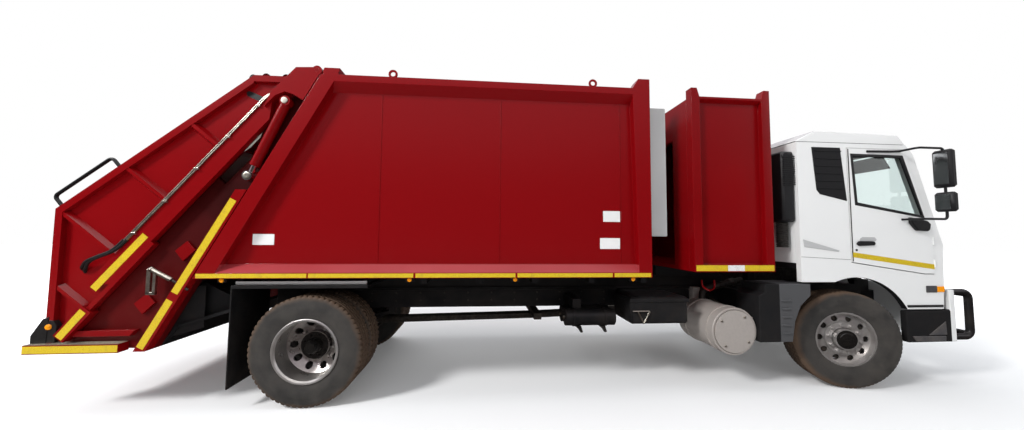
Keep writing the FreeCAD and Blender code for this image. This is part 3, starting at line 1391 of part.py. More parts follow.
def packer():
    arm_low = -S.tail_half + S.tail_wall + S.run_gap
    arm_high = arm_low + S.arm_thick
    arm = along_guide(-S.arm_half, S.carriage_long - S.guide_end, -S.arm_half, S.arm_half,
                      arm_low, arm_high)
    beams = []
    for share in (0.45, 0.93):
        start = S.carriage_long * share - S.arm_half
        beams.append(along_guide(start, start + S.arm_half, -S.arm_half * 0.7, S.arm_half * 0.7,
                                 arm_high, -arm_high))
    face = along_guide(S.hub_tube + S.run_gap * 2, S.carriage_long * 0.45, S.arm_half * 0.4,
                       S.arm_half * 0.9, arm_high, -arm_high)
    pivot_x, pivot_z = guide_point(ZERO, ZERO)
    pin = bar("y", pivot_x, arm_high, pivot_z, S.blade_pin, S.pin_reach)
    keep("packer_carriage", fused(arm, other_side(arm), face, pin, other_side(pin), *beams))
    y = -arm_high - S.shut_gap
    tube = bar("y", pivot_x, -y, pivot_z, S.hub_tube, y * 2)
    plate = along_guide(-S.blade_thick, S.blade_thick, S.hub_tube / 2, S.blade_reach * 0.7, -y, y)
    tip = slab([guide_point(-S.blade_thick, S.blade_reach * 0.7),
                guide_point(S.blade_thick, S.blade_reach * 0.7),
                guide_point(S.blade_thick / 2, S.blade_reach * 0.99),
                guide_point(-S.blade_thick / 2, S.blade_reach * 0.99)], -y, y)
    bore = bar("y", pivot_x, -y - S.overrun, pivot_z, S.blade_pin + S.fit_gap,
               S.pin_reach + S.overrun)
    keep("packer_blade", less(fused(tube, plate, tip), bore, other_side(bore)))


def build():
    chassis_frame()
    rear_axle()
    front_axle()
    driveline()
    silencer()
    air_tanks()
    battery_box()
    fuel_tank()
    rear_mudguards()
    cab_steps()
    front_bumper()
    chassis_lamps()
    bull_bar()
    for side in ("right", "left"):
        front_wheel(side)
        rear_wheel(side)
    body_sides()
    body_floor()
    body_roof()
    body_front_wall()
    oil_tank()
    crew_box()
    cab_sides()
    cab_shell()
    cab_inside()
    air_intake()
    doors()
    tailgate_sides()
    tailgate_roof()
    hopper()
    tail_steps()
    grab_rails()
    tail_lamps()
    lift_cylinders()
    packer()


def check():
    doc.recompute()
    for item in doc.Objects:
        if "Invalid" in item.State or "Error" in item.State:
            raise RuntimeError("%s failed: %s" % (item.Label, item.State))
    for name, piece in made.items():
        shape = piece.Shape
        if shape.isNull() or not shape.isValid() or not shape.Solids:
            raise RuntimeError(name + " has no valid solid")


def write():
    os.makedirs("parts", exist_ok=True)
    for name, piece in made.items():
        piece.Shape.exportStep("parts/%s.step" % name)


build()
check()
write()
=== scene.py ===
import bmesh
import bpy
import math
from mathutils import Matrix, Vector


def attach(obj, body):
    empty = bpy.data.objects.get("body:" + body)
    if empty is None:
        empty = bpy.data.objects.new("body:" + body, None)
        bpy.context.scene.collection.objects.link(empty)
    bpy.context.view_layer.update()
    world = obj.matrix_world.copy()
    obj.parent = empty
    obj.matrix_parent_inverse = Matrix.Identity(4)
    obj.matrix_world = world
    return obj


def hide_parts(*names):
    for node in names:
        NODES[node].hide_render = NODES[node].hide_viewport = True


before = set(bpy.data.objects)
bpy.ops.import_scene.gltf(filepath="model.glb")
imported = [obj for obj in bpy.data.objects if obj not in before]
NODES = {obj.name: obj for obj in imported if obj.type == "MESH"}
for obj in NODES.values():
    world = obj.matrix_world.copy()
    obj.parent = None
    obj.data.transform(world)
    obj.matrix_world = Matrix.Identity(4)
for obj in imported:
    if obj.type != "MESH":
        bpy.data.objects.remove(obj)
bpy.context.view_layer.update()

# Lengths along the truck are written from the rear axle, as in the part's source.
AXLE = -2.455
WHEELBASE = 5.73
STEER = math.radians(-16)
KINGPIN = 0.9
TYRE = 0.525
SIDES = ((-1, "right"), (1, "left"))


def spot(x, y, z):
    """A place in the frame, from its distance ahead of the rear axle."""
    return Vector((x + AXLE, y, z))


def plate(y, outline):
    """The places of an outline of (x, z) at one distance from the middle."""
    return [spot(x, y, z) for x, z in outline]


# Materials

class Surface:
    """A material put together from nodes round one shader."""

    def __init__(self, name):
        self.mat = bpy.data.materials.new(name)
        self.mat.use_nodes = True
        self.tree = self.mat.node_tree
        self.tree.nodes.clear()
        self.shader = self.node("BsdfPrincipled")
        self.node("OutputMaterial", Surface=self.shader.outputs["BSDF"])
        self.coords = self.node("TexCoord").outputs["Object"]

    def feed(self, value, socket):
        if isinstance(value, bpy.types.NodeSocket):
            self.tree.links.new(value, socket)
        else:
            socket.default_value = value

    def set(self, **values):
        for name, value in values.items():
            self.feed(value, self.shader.inputs[name.replace("_", " ")])

    def node(self, kind, **values):
        node = self.tree.nodes.new("ShaderNode" + kind)
        for name, value in values.items():
            self.feed(value, node.inputs[name.replace("_", " ")])
        return node

    def stretched(self, stretch):
        return self.node("Mapping", Scale=stretch, Vector=self.coords).outputs["Vector"]

    def noise(self, scale, detail=5.0, rough=0.55, stretch=None):
        place = self.coords if stretch is None else self.stretched(stretch)
        return self.node("TexNoise", Scale=scale, Detail=detail, Roughness=rough, Vector=place).outputs["Fac"]

    def cells(self, scale, stretch=(1, 1, 1)):
        node = self.node("TexVoronoi", Scale=scale, Vector=self.stretched(stretch))
        node.feature = "DISTANCE_TO_EDGE"
        return node.outputs["Distance"]

    def along(self, axis):
        return self.node("SeparateXYZ", Vector=self.coords).outputs[axis]

    def spread(self, value, low, high, to_low=0.0, to_high=1.0):
        return self.node("MapRange", From_Min=low, From_Max=high, To_Min=to_low, To_Max=to_high,
                         Value=value).outputs["Result"]

    def calc(self, kind, first, second):
        node = self.node("Math")
        node.operation = kind
        self.feed(first, node.inputs[0])
        self.feed(second, node.inputs[1])
        return node.outputs[0]

    def times(self, first, *others):
        for other in others:
            first = self.calc("MULTIPLY", first, other)
        return first

    def mix(self, share, first, second):
        node = self.node("Mix")
        node.data_type = "RGBA"
        self.feed(share, node.inputs["Factor"])
        for socket, value in ((node.inputs[6], first), (node.inputs[7], second)):
            self.feed(value + (1.0,) if isinstance(value, tuple) else value, socket)
        return node.outputs[2]

    def bump(self, height, strength, distance):
        node = self.node("Bump", Strength=strength, Distance=distance, Height=height)
        self.set(Normal=node.outputs["Normal"])

    def dusty(self, colour, dust, top, amount, grain=6.0):
        """The colour, with dust that lies thicker towards the ground and in patches."""
        low = self.spread(self.along("Z"), top, top - DUST_FADE)
        patch = self.spread(self.noise(grain, 6, 0.6), 0.35, 0.75)
        return self.mix(self.times(low, patch, amount), colour, dust)


DUST = (0.3, 0.22, 0.15)
DUST_TOP = 1.6
DUST_FADE = 1.3


def lacquer(s, colour, rough, dust, specular):
    """Sprayed paint over the colour: a little dust low down and an uneven gloss."""
    s.set(Base_Color=s.dusty(colour, DUST, DUST_TOP, dust), Specular_IOR_Level=specular,
          Roughness=s.spread(s.noise(3.0, 4), 0.25, 0.75, rough - 0.02, rough + 0.03))
    s.bump(s.noise(160, 3, 0.5), 0.02, 0.002)
    return s.mat


def paint(name, light, dark, rough=0.24, dust=0.1, specular=0.3):
    s = Surface(name)
    colour = s.mix(s.spread(s.noise(0.9, 2), 0.3, 0.7), dark, light)
    return lacquer(s, colour, rough, dust, specular)


def plain_metal(name, light, dark, rough, grain=60, stretch=(1, 1, 1), dust=0.2, metal=1.0):
    s = Surface(name)
    brushed = s.noise(grain, 5, 0.6, stretch)
    colour = s.mix(s.spread(brushed, 0.3, 0.7), dark, light)
    colour = s.dusty(colour, DUST, 1.3, dust)
    s.set(Base_Color=colour, Metallic=metal,
          Roughness=s.spread(s.noise(14, 6), 0.25, 0.8, rough - 0.07, rough + 0.12))
    s.bump(brushed, 0.05, 0.002)
    return s.mat


def plastic(name, light, dark, rough, dust=0.25, specular=0.4):
    s = Surface(name)
    colour = s.mix(s.spread(s.noise(5, 5), 0.3, 0.7), dark, light)
    colour = s.dusty(colour, DUST, DUST_TOP, dust, 9)
    s.set(Base_Color=colour, Specular_IOR_Level=specular,
          Roughness=s.spread(s.noise(30, 4), 0.3, 0.7, rough - 0.06, rough + 0.08))
    s.bump(s.noise(420, 2), 0.12, 0.001)
    return s.mat


def tape(name, light, dark):
    """Reflective tape with its honeycomb of small cells and a worn edge."""
    s = Surface(name)
    cell = s.cells(110, (1, 0.01, 1.0))
    colour = s.mix(s.spread(cell, 0.0, 0.12), dark, light)
    grime = s.spread(s.noise(12, 6, 0.65), 0.52, 0.72)
    colour = s.mix(s.times(grime, 0.35), colour, (0.22, 0.15, 0.05))
    s.set(Base_Color=colour, Roughness=0.35, Specular_IOR_Level=0.4)
    s.bump(cell, 0.15, 0.001)
    return s.mat


def lens(name, colour, glow):
    s = Surface(name)
    shade = s.mix(s.spread(s.noise(90, 3), 0.3, 0.7), tuple(c * 0.7 for c in colour), colour)
    s.set(Base_Color=shade, Roughness=0.12, Specular_IOR_Level=0.5, Emission_Color=colour + (1.0,),
          Emission_Strength=glow)
    s.bump(s.cells(160), 0.3, 0.002)
    return s.mat


def clear(name, tint):
    """Window glass: clear and tinted, with a faint film of dust."""
    s = Surface(name)
    film = s.spread(s.noise(4, 6), 0.45, 0.8, 0.0, 0.05)
    s.set(Base_Color=tint + (1.0,), Transmission_Weight=1.0, IOR=1.45, Roughness=s.calc("ADD", film, 0.02))
    return s.mat


def rubber(name, axle=None):
    """Rubber with road dust; round an axle the tread is browner than the walls."""
    s = Surface(name)
    colour = s.mix(s.spread(s.noise(7, 7, 0.65), 0.35, 0.7), (0.03, 0.028, 0.026), (0.046, 0.043, 0.04))
    dust = s.spread(s.noise(3.5, 8, 0.7), 0.38, 0.75)
    colour = s.mix(s.times(dust, 0.35), colour, (0.085, 0.07, 0.056))
    if axle is not None:
        ahead = s.calc("SUBTRACT", s.along("X"), axle)
        above = s.calc("SUBTRACT", s.along("Z"), TYRE)
        out = s.calc("SQRT", s.calc("ADD", s.times(ahead, ahead), s.times(above, above)), 0.0)
        edge = s.spread(s.calc("ADD", out, s.times(s.noise(9, 6), 0.05)), 0.5, 0.545)
        colour = s.mix(s.times(edge, 0.75), colour, (0.115, 0.068, 0.04))
    s.set(Base_Color=colour, Roughness=s.spread(dust, 0, 1, 0.62, 0.9), Specular_IOR_Level=0.3)
    s.bump(s.noise(240, 4), 0.1, 0.0015)
    return s.mat


def cloth(name):
    s = Surface(name)
    weave = s.noise(900, 2)
    colour = s.mix(s.spread(weave, 0.3, 0.7), (0.035, 0.036, 0.042), (0.085, 0.085, 0.095))
    s.set(Base_Color=colour, Roughness=0.9, Specular_IOR_Level=0.2, Sheen_Weight=0.2)
    s.bump(weave, 0.3, 0.001)
    return s.mat


CRIMSON = (0.2, 0.0012, 0.0028)
RED = paint("crimson_paint", CRIMSON, (0.172, 0.001, 0.0022), rough=0.2, dust=0.015, specular=0.3)
BLACK = paint("chassis_black_paint", (0.008, 0.008, 0.009), (0.005, 0.005, 0.006), rough=0.42, dust=0.08)
GREY = paint("tank_grey_paint", (0.56, 0.56, 0.55), (0.46, 0.46, 0.46), rough=0.4, dust=0.1)
CREAM = paint("packer_cream_paint", (0.72, 0.68, 0.62), (0.6, 0.56, 0.5), rough=0.45, dust=0.2)
SILVER = plain_metal("wheel_silver_paint", (0.66, 0.65, 0.64), (0.52, 0.5, 0.48),
                     0.36, 12, dust=0.35, metal=0.8)
DULL_RIM = plain_metal("rear_rim_paint", (0.6, 0.58, 0.56), (0.44, 0.42, 0.4),
                       0.3, 12, dust=0.3, metal=0.85)
STEEL = plain_metal("bare_steel", (0.5, 0.455, 0.42), (0.45, 0.41, 0.38),
                    0.42, 30, (1, 6, 1), dust=0.1, metal=0.3)
ZINC = plain_metal("zinc_fittings", (0.66, 0.64, 0.58), (0.46, 0.42, 0.34), 0.34, 90, dust=0.1)
CHROME = plain_metal("rod_chrome", (0.85, 0.85, 0.86), (0.75, 0.75, 0.76), 0.14, 60, dust=0.0)
DARK_STEEL = plain_metal("dark_oily_steel", (0.07, 0.065, 0.06), (0.02, 0.018, 0.016),
                         0.48, 30, dust=0.3, metal=0.6)
PLASTIC = plastic("black_plastic", (0.013, 0.013, 0.014), (0.008, 0.008, 0.009),
                  0.45, dust=0.05, specular=0.3)
GREY_PLASTIC = plastic("grey_plastic", (0.075, 0.075, 0.08), (0.045, 0.045, 0.05), 0.5, dust=0.25)
RUBBER = rubber("plain_rubber")
FRONT_RUBBER = rubber("front_tyre_rubber", WHEELBASE + AXLE - 0.03)
REAR_RUBBER = rubber("rear_tyre_rubber", AXLE)
HOSE = plastic("hose_rubber", (0.015, 0.015, 0.016), (0.008, 0.008, 0.008), 0.4, dust=0.05)
CLOTH = cloth("seat_cloth")
YELLOW = tape("yellow_tape", (0.66, 0.48, 0.012), (0.46, 0.3, 0.008))
WHITE_TAPE = tape("white_tape", (0.8, 0.8, 0.78), (0.5, 0.5, 0.5))
AMBER = lens("amber_lens", (0.95, 0.33, 0.01), 0.12)
RED_LENS = lens("red_lens", (0.55, 0.01, 0.008), 0.05)
CLEAR_LENS = lens("headlamp_lens", (0.75, 0.78, 0.8), 0.02)
GLASS = clear("window_glass", (0.86, 0.93, 0.92))
PLATE = paint("blank_plate", (0.8, 0.8, 0.79), (0.72, 0.72, 0.71), rough=0.3, dust=0.05)
# Grey for painted shade in the cab's crease and the door handle's cup.
SHADE = paint("crease_shade_grey", (0.5, 0.5, 0.5), (0.44, 0.44, 0.44), rough=0.3, dust=0.05)
GLOSS_BLACK = plastic("hub_black_paint", (0.006, 0.006, 0.006), (0.004, 0.004, 0.004),
                      0.22, dust=0.03, specular=0.5)
MIRROR = plain_metal("mirror_glass", (0.8, 0.82, 0.84), (0.74, 0.76, 0.78), 0.1, 20, dust=0.0)

# The part's material slot that each surface belongs to
SLOTS = {material.name: slot for slot, materials in (
    ("crimson_paint", [RED]), ("cream_paint", [CREAM]), ("grey_paint", [GREY]),
    ("white_paint", [PLATE, SHADE]), ("black_paint", [BLACK, GLOSS_BLACK, DARK_STEEL]),
    ("wheel_silver", [SILVER, DULL_RIM]), ("bare_steel", [ZINC, STEEL]), ("clear_glass", [MIRROR]),
    ("black_plastic", [PLASTIC, GREY_PLASTIC]), ("lamp_plastic", [AMBER, CLEAR_LENS, CHROME]),
    ("rubber", [RUBBER, FRONT_RUBBER, REAR_RUBBER, HOSE])) for material in materials}


# Shapes

CORNER_STEPS = 6
DOME_STEPS = 6
SHARP_EDGE = math.radians(40)
SAME_SPOT = 0.00005


class Shape:
    """One piece of the scene, gathered from simple solids in truck coordinates."""

    def __init__(self, name, material, body, slot=""):
        self.name = name
        self.material = material
        self.body = body
        self.slot = slot or SLOTS.get(material.name)
        self.mesh = bmesh.new()

    def add_faces(self, corners, faces):
        spots = [self.mesh.verts.new(c) for c in corners]
        for face in faces:
            self.mesh.faces.new([spots[i] for i in face])

    def prism(self, near, far):
        count = len(near)
        faces = [tuple(range(count))[::-1], tuple(range(count, 2 * count))]
        for i in range(count):
            j = (i + 1) % count
            faces.append((i, j, count + j, count + i))
        self.add_faces(near + far, faces)
        return self

    def side(self, outline, y0, y1):
        """An outline made thick along Y."""
        return self.prism(plate(y0, outline), plate(y1, outline))

    def block(self, x0, x1, y0, y1, z0, z1):
        return self.side([(x0, z0), (x1, z0), (x1, z1), (x0, z1)], y0, y1)

    def ring(self, centre, axis, profile, count, full=True):
        """A turned shape: (radius, distance along the axis) round a centre."""
        axis = Vector(axis).normalized()
        across = axis.orthogonal().normalized()
        beside = axis.cross(across)
        rows = []
        for step in range(count):
            angle = 2 * math.pi * step / count
            out = across * math.cos(angle) + beside * math.sin(angle)
            rows.append([self.mesh.verts.new(centre + out * r + axis * d) for r, d in profile])
        for step in range(count):
            a, b = rows[step], rows[(step + 1) % count]
            for i in range(len(profile) - 1):
                self.mesh.faces.new((a[i], a[i + 1], b[i + 1], b[i]))
        for i in (0, len(profile) - 1):
            if full and profile[i][0] > 1e-6:
                loop = [row[i] for row in rows]
                self.mesh.faces.new(loop if i else loop[::-1])
        return self

    def rod(self, start, end, radius, count):
        run = end - start
        return self.ring(start, run, [(radius, 0), (radius, run.length)], count)

    def nut(self, centre, axis, radius, tall):
        return self.ring(centre, axis, [(radius, 0), (radius, tall * 0.8), (radius * 0.85, tall)], 6)

    def dome(self, centre, axis, radius, tall):
        angles = [math.pi / 2 * i / DOME_STEPS for i in range(DOME_STEPS)]
        profile = [(radius * math.cos(angle), tall * math.sin(angle)) for angle in angles]
        return self.ring(centre, axis, profile + [(radius * 0.02, tall)], 20)

    def tube(self, places, radius, bend, count):
        """A round tube along straight runs with rounded corners."""
        path = [places[0]]
        for before, corner, after in zip(places, places[1:], places[2:]):
            back = before - corner
            ahead = after - corner
            reach = min(bend, back.length * 0.45, ahead.length * 0.45)
            first = corner + back.normalized() * reach
            last = corner + ahead.normalized() * reach
            for i in range(CORNER_STEPS + 1):
                s = i / CORNER_STEPS
                path.append(first * (1 - s) ** 2 + corner * 2 * s * (1 - s) + last * s * s)
        path.append(places[-1])
        rows = []
        across = None
        for i, place in enumerate(path):
            here = (path[min(i + 1, len(path) - 1)] - path[max(i - 1, 0)]).normalized()
            if across is None:
                across = here.orthogonal().normalized()
            across = (across - here * across.dot(here)).normalized()
            beside = here.cross(across)
            rows.append([self.mesh.verts.new(place + (across * math.cos(a) + beside * math.sin(a)) * radius)
                         for a in (2 * math.pi * k / count for k in range(count))])
        for a, b in zip(rows, rows[1:]):
            for k in range(count):
                m = (k + 1) % count
                self.mesh.faces.new((a[k], a[m], b[m], b[k]))
        self.mesh.faces.new(rows[0][::-1])
        self.mesh.faces.new(rows[-1])
        return self

    def both(self):
        """Adds the same shape on the truck's other side."""
        for item in bmesh.ops.duplicate(self.mesh, geom=self.mesh.verts[:] + self.mesh.faces[:])["geom"]:
            if isinstance(item, bmesh.types.BMVert):
                item.co.y = -item.co.y
        return self

    def turn(self, matrix):
        bmesh.ops.transform(self.mesh, matrix=matrix, verts=self.mesh.verts[:])
        return self

    def make(self, bevel=0.0, segments=2, angle=35, replaces=()):
        bmesh.ops.recalc_face_normals(self.mesh, faces=self.mesh.faces[:])
        data = bpy.data.meshes.new(self.name)
        self.mesh.to_mesh(data)
        self.mesh.free()
        data.materials.append(self.material)
        piece = bpy.data.objects.new(self.name, data)
        bpy.context.scene.collection.objects.link(piece)
        data.shade_smooth()
        data.set_sharp_from_angle(angle=math.radians(angle))
        if bevel:
            soften(piece, bevel, segments)
        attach(piece, self.body)
        if replaces:
            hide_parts(*replaces)
        return piece


def soften(piece, width, segments):
    bevel = piece.modifiers.new("edges", "BEVEL")
    bevel.width = width
    bevel.segments = segments
    bevel.limit_method = "ANGLE"
    bevel.angle_limit = SHARP_EDGE
    bevel.harden_normals = True
    bevel.use_clamp_overlap = True


def coat(piece, material, width):
    """Gives a piece its material and softens its edges."""
    if not piece.material_slots:
        piece.data.materials.append(material)
    for place in piece.material_slots:
        place.material = material
    if width:
        weld = piece.modifiers.new("weld", "WELD")
        weld.merge_threshold = SAME_SPOT
        soften(piece, width, 2)
        weighted = piece.modifiers.new("normals", "WEIGHTED_NORMAL")
        weighted.keep_sharp = False


# CAD pieces: material, rounding of the edges, nodes

FINISHES = (
    (RED, 0.003, "body_roof crew_walls tailgate_roof tail_steps packer_blade lift_barrels"),
    (RED, 0.004, "crew_sides"), (RED, 0, "body_front_wall"), (CREAM, 0.003, "packer_carriage"),
    (CHROME, 0, "lift_rods"), (BLACK, 0, "bull_bar grab_rails"), (BLACK, 0.002, "chassis_frame"),
    (BLACK, 0.003, "rear_axle front_axle knuckle_right knuckle_left"), (BLACK, 0.004, "cab_floor"),
    (BLACK, 0.006, "air_tanks"), (DARK_STEEL, 0.006, "engine_and_driveshaft"), (STEEL, 0.006, "silencer"),
    (STEEL, 0.02, "fuel_tank"), (GREY, 0.012, "oil_tank"), (PLASTIC, 0.002, "rear_mudguards"),
    (PLASTIC, 0.006, "chassis_lamps"), (PLASTIC, 0.012, "battery_box air_intake mirror_right mirror_left"),
    (GREY_PLASTIC, 0, "dashboard"), (CLOTH, 0.03, "seats"), (RED_LENS, 0.003, "tail_lamps"),
    (GLASS, 0, "windshield door_glass_right door_glass_left"),
    (SILVER, 0.002, "rim_front_right rim_front_left"),
    (FRONT_RUBBER, 0.004, "tyre_front_right tyre_front_left"),
    (REAR_RUBBER, 0.004, "tyres_rear_right tyres_rear_left"))
for material, width, names in FINISHES:
    for node in names.split():
        coat(NODES[node], material, width)


# Tyres: a cut tread on a turned carcass

HALF_TYRE = 0.14
TREAD = 0.5225
BEAD = 0.288
GROOVE = 0.011
FRONT_TRACK = 1.03
TWIN_TRACKS = (1.06, 0.735)
TREAD_BLOCKS = 76
TWIN_BLOCKS = 60


def tyre_section():
    """The tyre's outline from bead to bead: (distance from its middle, radius)."""
    wall = TREAD - BEAD
    side = [(-0.8, BEAD + 0.004), (-0.86, BEAD + 0.012), (-0.94, BEAD + 0.22 * wall),
            (-0.975, BEAD + 0.34 * wall), (-0.98, BEAD + 0.36 * wall), (-1.0, BEAD + 0.58 * wall),
            (-0.985, BEAD + 0.62 * wall), (-0.985, BEAD + 0.72 * wall), (-0.965, BEAD + 0.84 * wall),
            (-0.93, TREAD - 0.018), (-0.87, TREAD - 0.007), (-0.81, TREAD - 0.001)]
    flat = [(share, TREAD) for share in (-0.62, -0.6, -0.55, -0.53, -0.23, -0.21, -0.16, -0.14, 0.0)]
    profile = [(share * HALF_TYRE, r) for share, r in side + flat]
    return profile + [(-a, r) for a, r in reversed(profile[:-1])]


def tread_cut(share, r, phase, deep):
    """How deep the tread is cut there; share is 0 at the tyre's middle and 1 at its wall."""
    if r > TREAD - 0.0015:
        if 0.15 < share < 0.22 or 0.54 < share < 0.61:
            return GROOVE
        if share > 0.58 and phase == 0:
            return deep
        if share < 0.16 and phase == 2:
            return deep * 0.5
    elif r > TREAD - 0.02 and phase == 0:
        return deep * 0.8
    return 0.0


def tyre(name, node, body, tracks, along, blocks, deep, turned=None):
    profile = tyre_section()
    rows = len(profile)
    count = blocks * 4
    piece = Shape(name, REAR_RUBBER if turned is None else FRONT_RUBBER, body)
    for track in tracks:
        middle = spot(along, track, TYRE)
        verts = []
        for step in range(count):
            angle = 2 * math.pi * step / count
            for across, r in profile:
                out = r - tread_cut(abs(across) / HALF_TYRE, r, step % 4, deep)
                verts.append(middle + Vector((out * math.cos(angle), across, out * math.sin(angle))))
        faces = []
        for step in range(count):
            here, after = step * rows, (step + 1) % count * rows
            faces += [(here + k, after + k, after + k + 1, here + k + 1) for k in range(rows - 1)]
        piece.add_faces(verts, faces)
    if turned is not None:
        piece.turn(turned)
    piece.make(angle=28, replaces=[node])


def parked(side):
    """The turn of a front wheel about its kingpin."""
    pin = spot(WHEELBASE, KINGPIN * side, 0)
    return Matrix.Translation(pin) @ Matrix.Rotation(STEER, 4, "Z") @ Matrix.Translation(-pin)


for side, name in SIDES:
    tyre("tread_front_" + name, "tyre_front_" + name, "front_%s_wheel" % name, [FRONT_TRACK * side],
         WHEELBASE, TREAD_BLOCKS, 0.005, parked(side))
    tyre("tread_rear_" + name, "tyres_rear_" + name, "rear_%s_wheels" % name,
         [track * side for track in TWIN_TRACKS], 0, TWIN_BLOCKS, 0.012)


# Wheels: rims, hubs, studs and brake drums

FRONT_HUB = 1.158
FRONT_DISC = 1.103
FRONT_DRUM = 1.055
REAR_DRUM = 0.86
REAR_FLANGE = 1.186
REAR_DISC = 0.912
REAR_HUB = 0.985
HUB_WIDE = 0.14
STUDS = 10
WASHER = 0.006
HAND_HOLES = 10
HAND_HOLE = 0.034
HAND_HOLE_RING = 0.222


def studs(piece, centre, axis, radius, count, size, tall):
    """A ring of nuts on washers."""
    across = axis.orthogonal().normalized()
    beside = axis.cross(across)
    for step in range(count):
        angle = 2 * math.pi * (step + 0.5) / count
        place = centre + (across * math.cos(angle) + beside * math.sin(angle)) * radius
        piece.ring(place, axis, [(size * 1.25, 0), (size * 1.25, WASHER)], 12)
        piece.nut(place + axis * WASHER, axis, size, tall)


def drum(name, material, body, place, out, radius):
    """A brake drum, open towards the truck's middle."""
    inner = radius - 0.008
    return Shape(name, material, body).ring(
        place, out, [(0.15, 0.0), (radius, 0.0), (radius, -0.12), (inner, -0.12), (inner, -0.008),
                     (0.15, -0.008)], 48, False)


def short_hub(piece):
    """Widens the outer end of a rear hub and ends it deep inside the outer rim."""
    for vertex in piece.mesh.verts:
        place = vertex.co
        aside, along, above = place.x - AXLE, abs(place.y), place.z - TYRE
        radius = math.hypot(aside, above)
        if along < REAR_DISC - 0.005 or radius > 0.12:
            continue
        if radius > 0.1:
            place.x = AXLE + aside * HUB_WIDE / radius
            place.z = TYRE + above * HUB_WIDE / radius
            place.y = math.copysign(min(along, REAR_HUB), place.y)
        else:
            place.y = math.copysign(REAR_HUB - 0.03, place.y)


def twin_rims(name, side):
    """The pair of rear rims: a short hub, and hand holes through both discs."""
    rims = Shape("twin_rims_" + name, DULL_RIM, "rear_%s_wheels" % name)
    rims.mesh.from_mesh(NODES["rims_rear_" + name].data)
    bmesh.ops.remove_doubles(rims.mesh, verts=rims.mesh.verts[:], dist=0.00002)
    for face in rims.mesh.faces:
        face.material_index = 0
    short_hub(rims)
    piece = rims.make(replaces=["rims_rear_" + name])

    holes = Shape("hand_holes", DULL_RIM, "chassis")
    for step in range(HAND_HOLES):
        angle = 2 * math.pi * step / HAND_HOLES
        centre = spot(HAND_HOLE_RING * math.cos(angle), 0.8 * side, TYRE + HAND_HOLE_RING * math.sin(angle))
        holes.ring(centre, (0, side, 0), [(HAND_HOLE, 0), (HAND_HOLE, 0.2)], 24)
    cutter = holes.make()
    cut = piece.modifiers.new("hand_holes", "BOOLEAN")
    cut.operation = "DIFFERENCE"
    cut.object = cutter
    shape = piece.evaluated_get(bpy.context.evaluated_depsgraph_get())
    piece.data = bpy.data.meshes.new_from_object(shape)
    piece.modifiers.clear()
    bpy.data.objects.remove(cutter)
    coat(piece, DULL_RIM, 0.002)


def front_wheel(name, side, out):
    body = "front_%s_wheel" % name
    hub = Shape("hub_front_" + name, GLOSS_BLACK, body)
    hub.ring(spot(WHEELBASE, FRONT_HUB * side, TYRE), out,
             [(0.1, -0.03), (0.1, 0.001), (0.07, 0.004), (0.066, 0.009), (0.03, 0.01),
              (0.026, 0.0115), (0.001, 0.0118)], 40)
    hub.turn(parked(side)).make()
    nuts = Shape("studs_front_" + name, SILVER, body)
    disc = spot(WHEELBASE, FRONT_DISC * side, TYRE)
    nuts.ring(disc, out, [(0.184, -0.002), (0.18, 0.01), (0.122, 0.01), (0.118, -0.002)], 48, False)
    studs(nuts, disc + out * 0.009, out, 0.15, STUDS, 0.018, 0.026)
    nuts.turn(parked(side)).make()
    place = spot(WHEELBASE, FRONT_DRUM * side, TYRE)
    drum("drum_front_" + name, DARK_STEEL, body, place, out, 0.24).turn(parked(side)).make()


def rear_wheels(name, side, out):
    body = "rear_%s_wheels" % name
    Shape("rim_flange_rear_" + name, SILVER, body).ring(
        spot(0, REAR_FLANGE * side, TYRE), out,
        [(0.29, -0.03), (0.3065, -0.004), (0.3065, 0.006), (0.3, 0.009), (0.288, 0.006),
         (0.276, -0.01), (0.276, -0.03)], 72, False).make()
    hub = Shape("hub_rear_" + name, GLOSS_BLACK, body)
    face = spot(0, REAR_HUB * side, TYRE)
    sleeve = HUB_WIDE + 0.0006
    hub.ring(face, out, [(sleeve, -0.073), (sleeve, -0.006), (HUB_WIDE - 0.008, 0.003),
                         (0.078, 0.006), (0.072, 0.05), (0.06, 0.085), (0.048, 0.104), (0.001, 0.108)], 48)
    studs(hub, face + out * 0.003, out, 0.104, 8, 0.009, 0.012)
    hub.make()
    twin_rims(name, side)
    nuts = Shape("studs_rear_" + name, SILVER, body)
    studs(nuts, spot(0, REAR_DISC * side, TYRE), out, 0.166, STUDS, 0.016, 0.035)
    nuts.make()
    drum("drum_rear_" + name, BLACK, body, spot(0, REAR_DRUM * side, TYRE), out, 0.236).make()


for side, name in SIDES:
    front_wheel(name, side, Vector((0, side, 0)))
    rear_wheels(name, side, Vector((0, side, 0)))


# Reflective tape and blank plates

TAPE_FACE = 1.2495
TAPE_THICK = 0.002
RAIL_TAPE = 1.2455
CREW_TAPE = 1.315
DOOR_FACE = 1.2115


def band(start, end, wide):
    """The corners of a strip between two places seen from the side."""
    (x0, z0), (x1, z1) = start, end
    run = Vector((x1 - x0, z1 - z0)).normalized() * wide / 2
    return [(x0 - run.y, z0 + run.x), (x0 + run.y, z0 - run.x), (x1 + run.y, z1 - run.x),
            (x1 - run.y, z1 + run.x)]


def stick(piece, start, end, wide, face=TAPE_FACE):
    """Lays a strip of tape on an outer face of the right side."""
    piece.side(band(start, end, wide), -face, -face - TAPE_THICK)


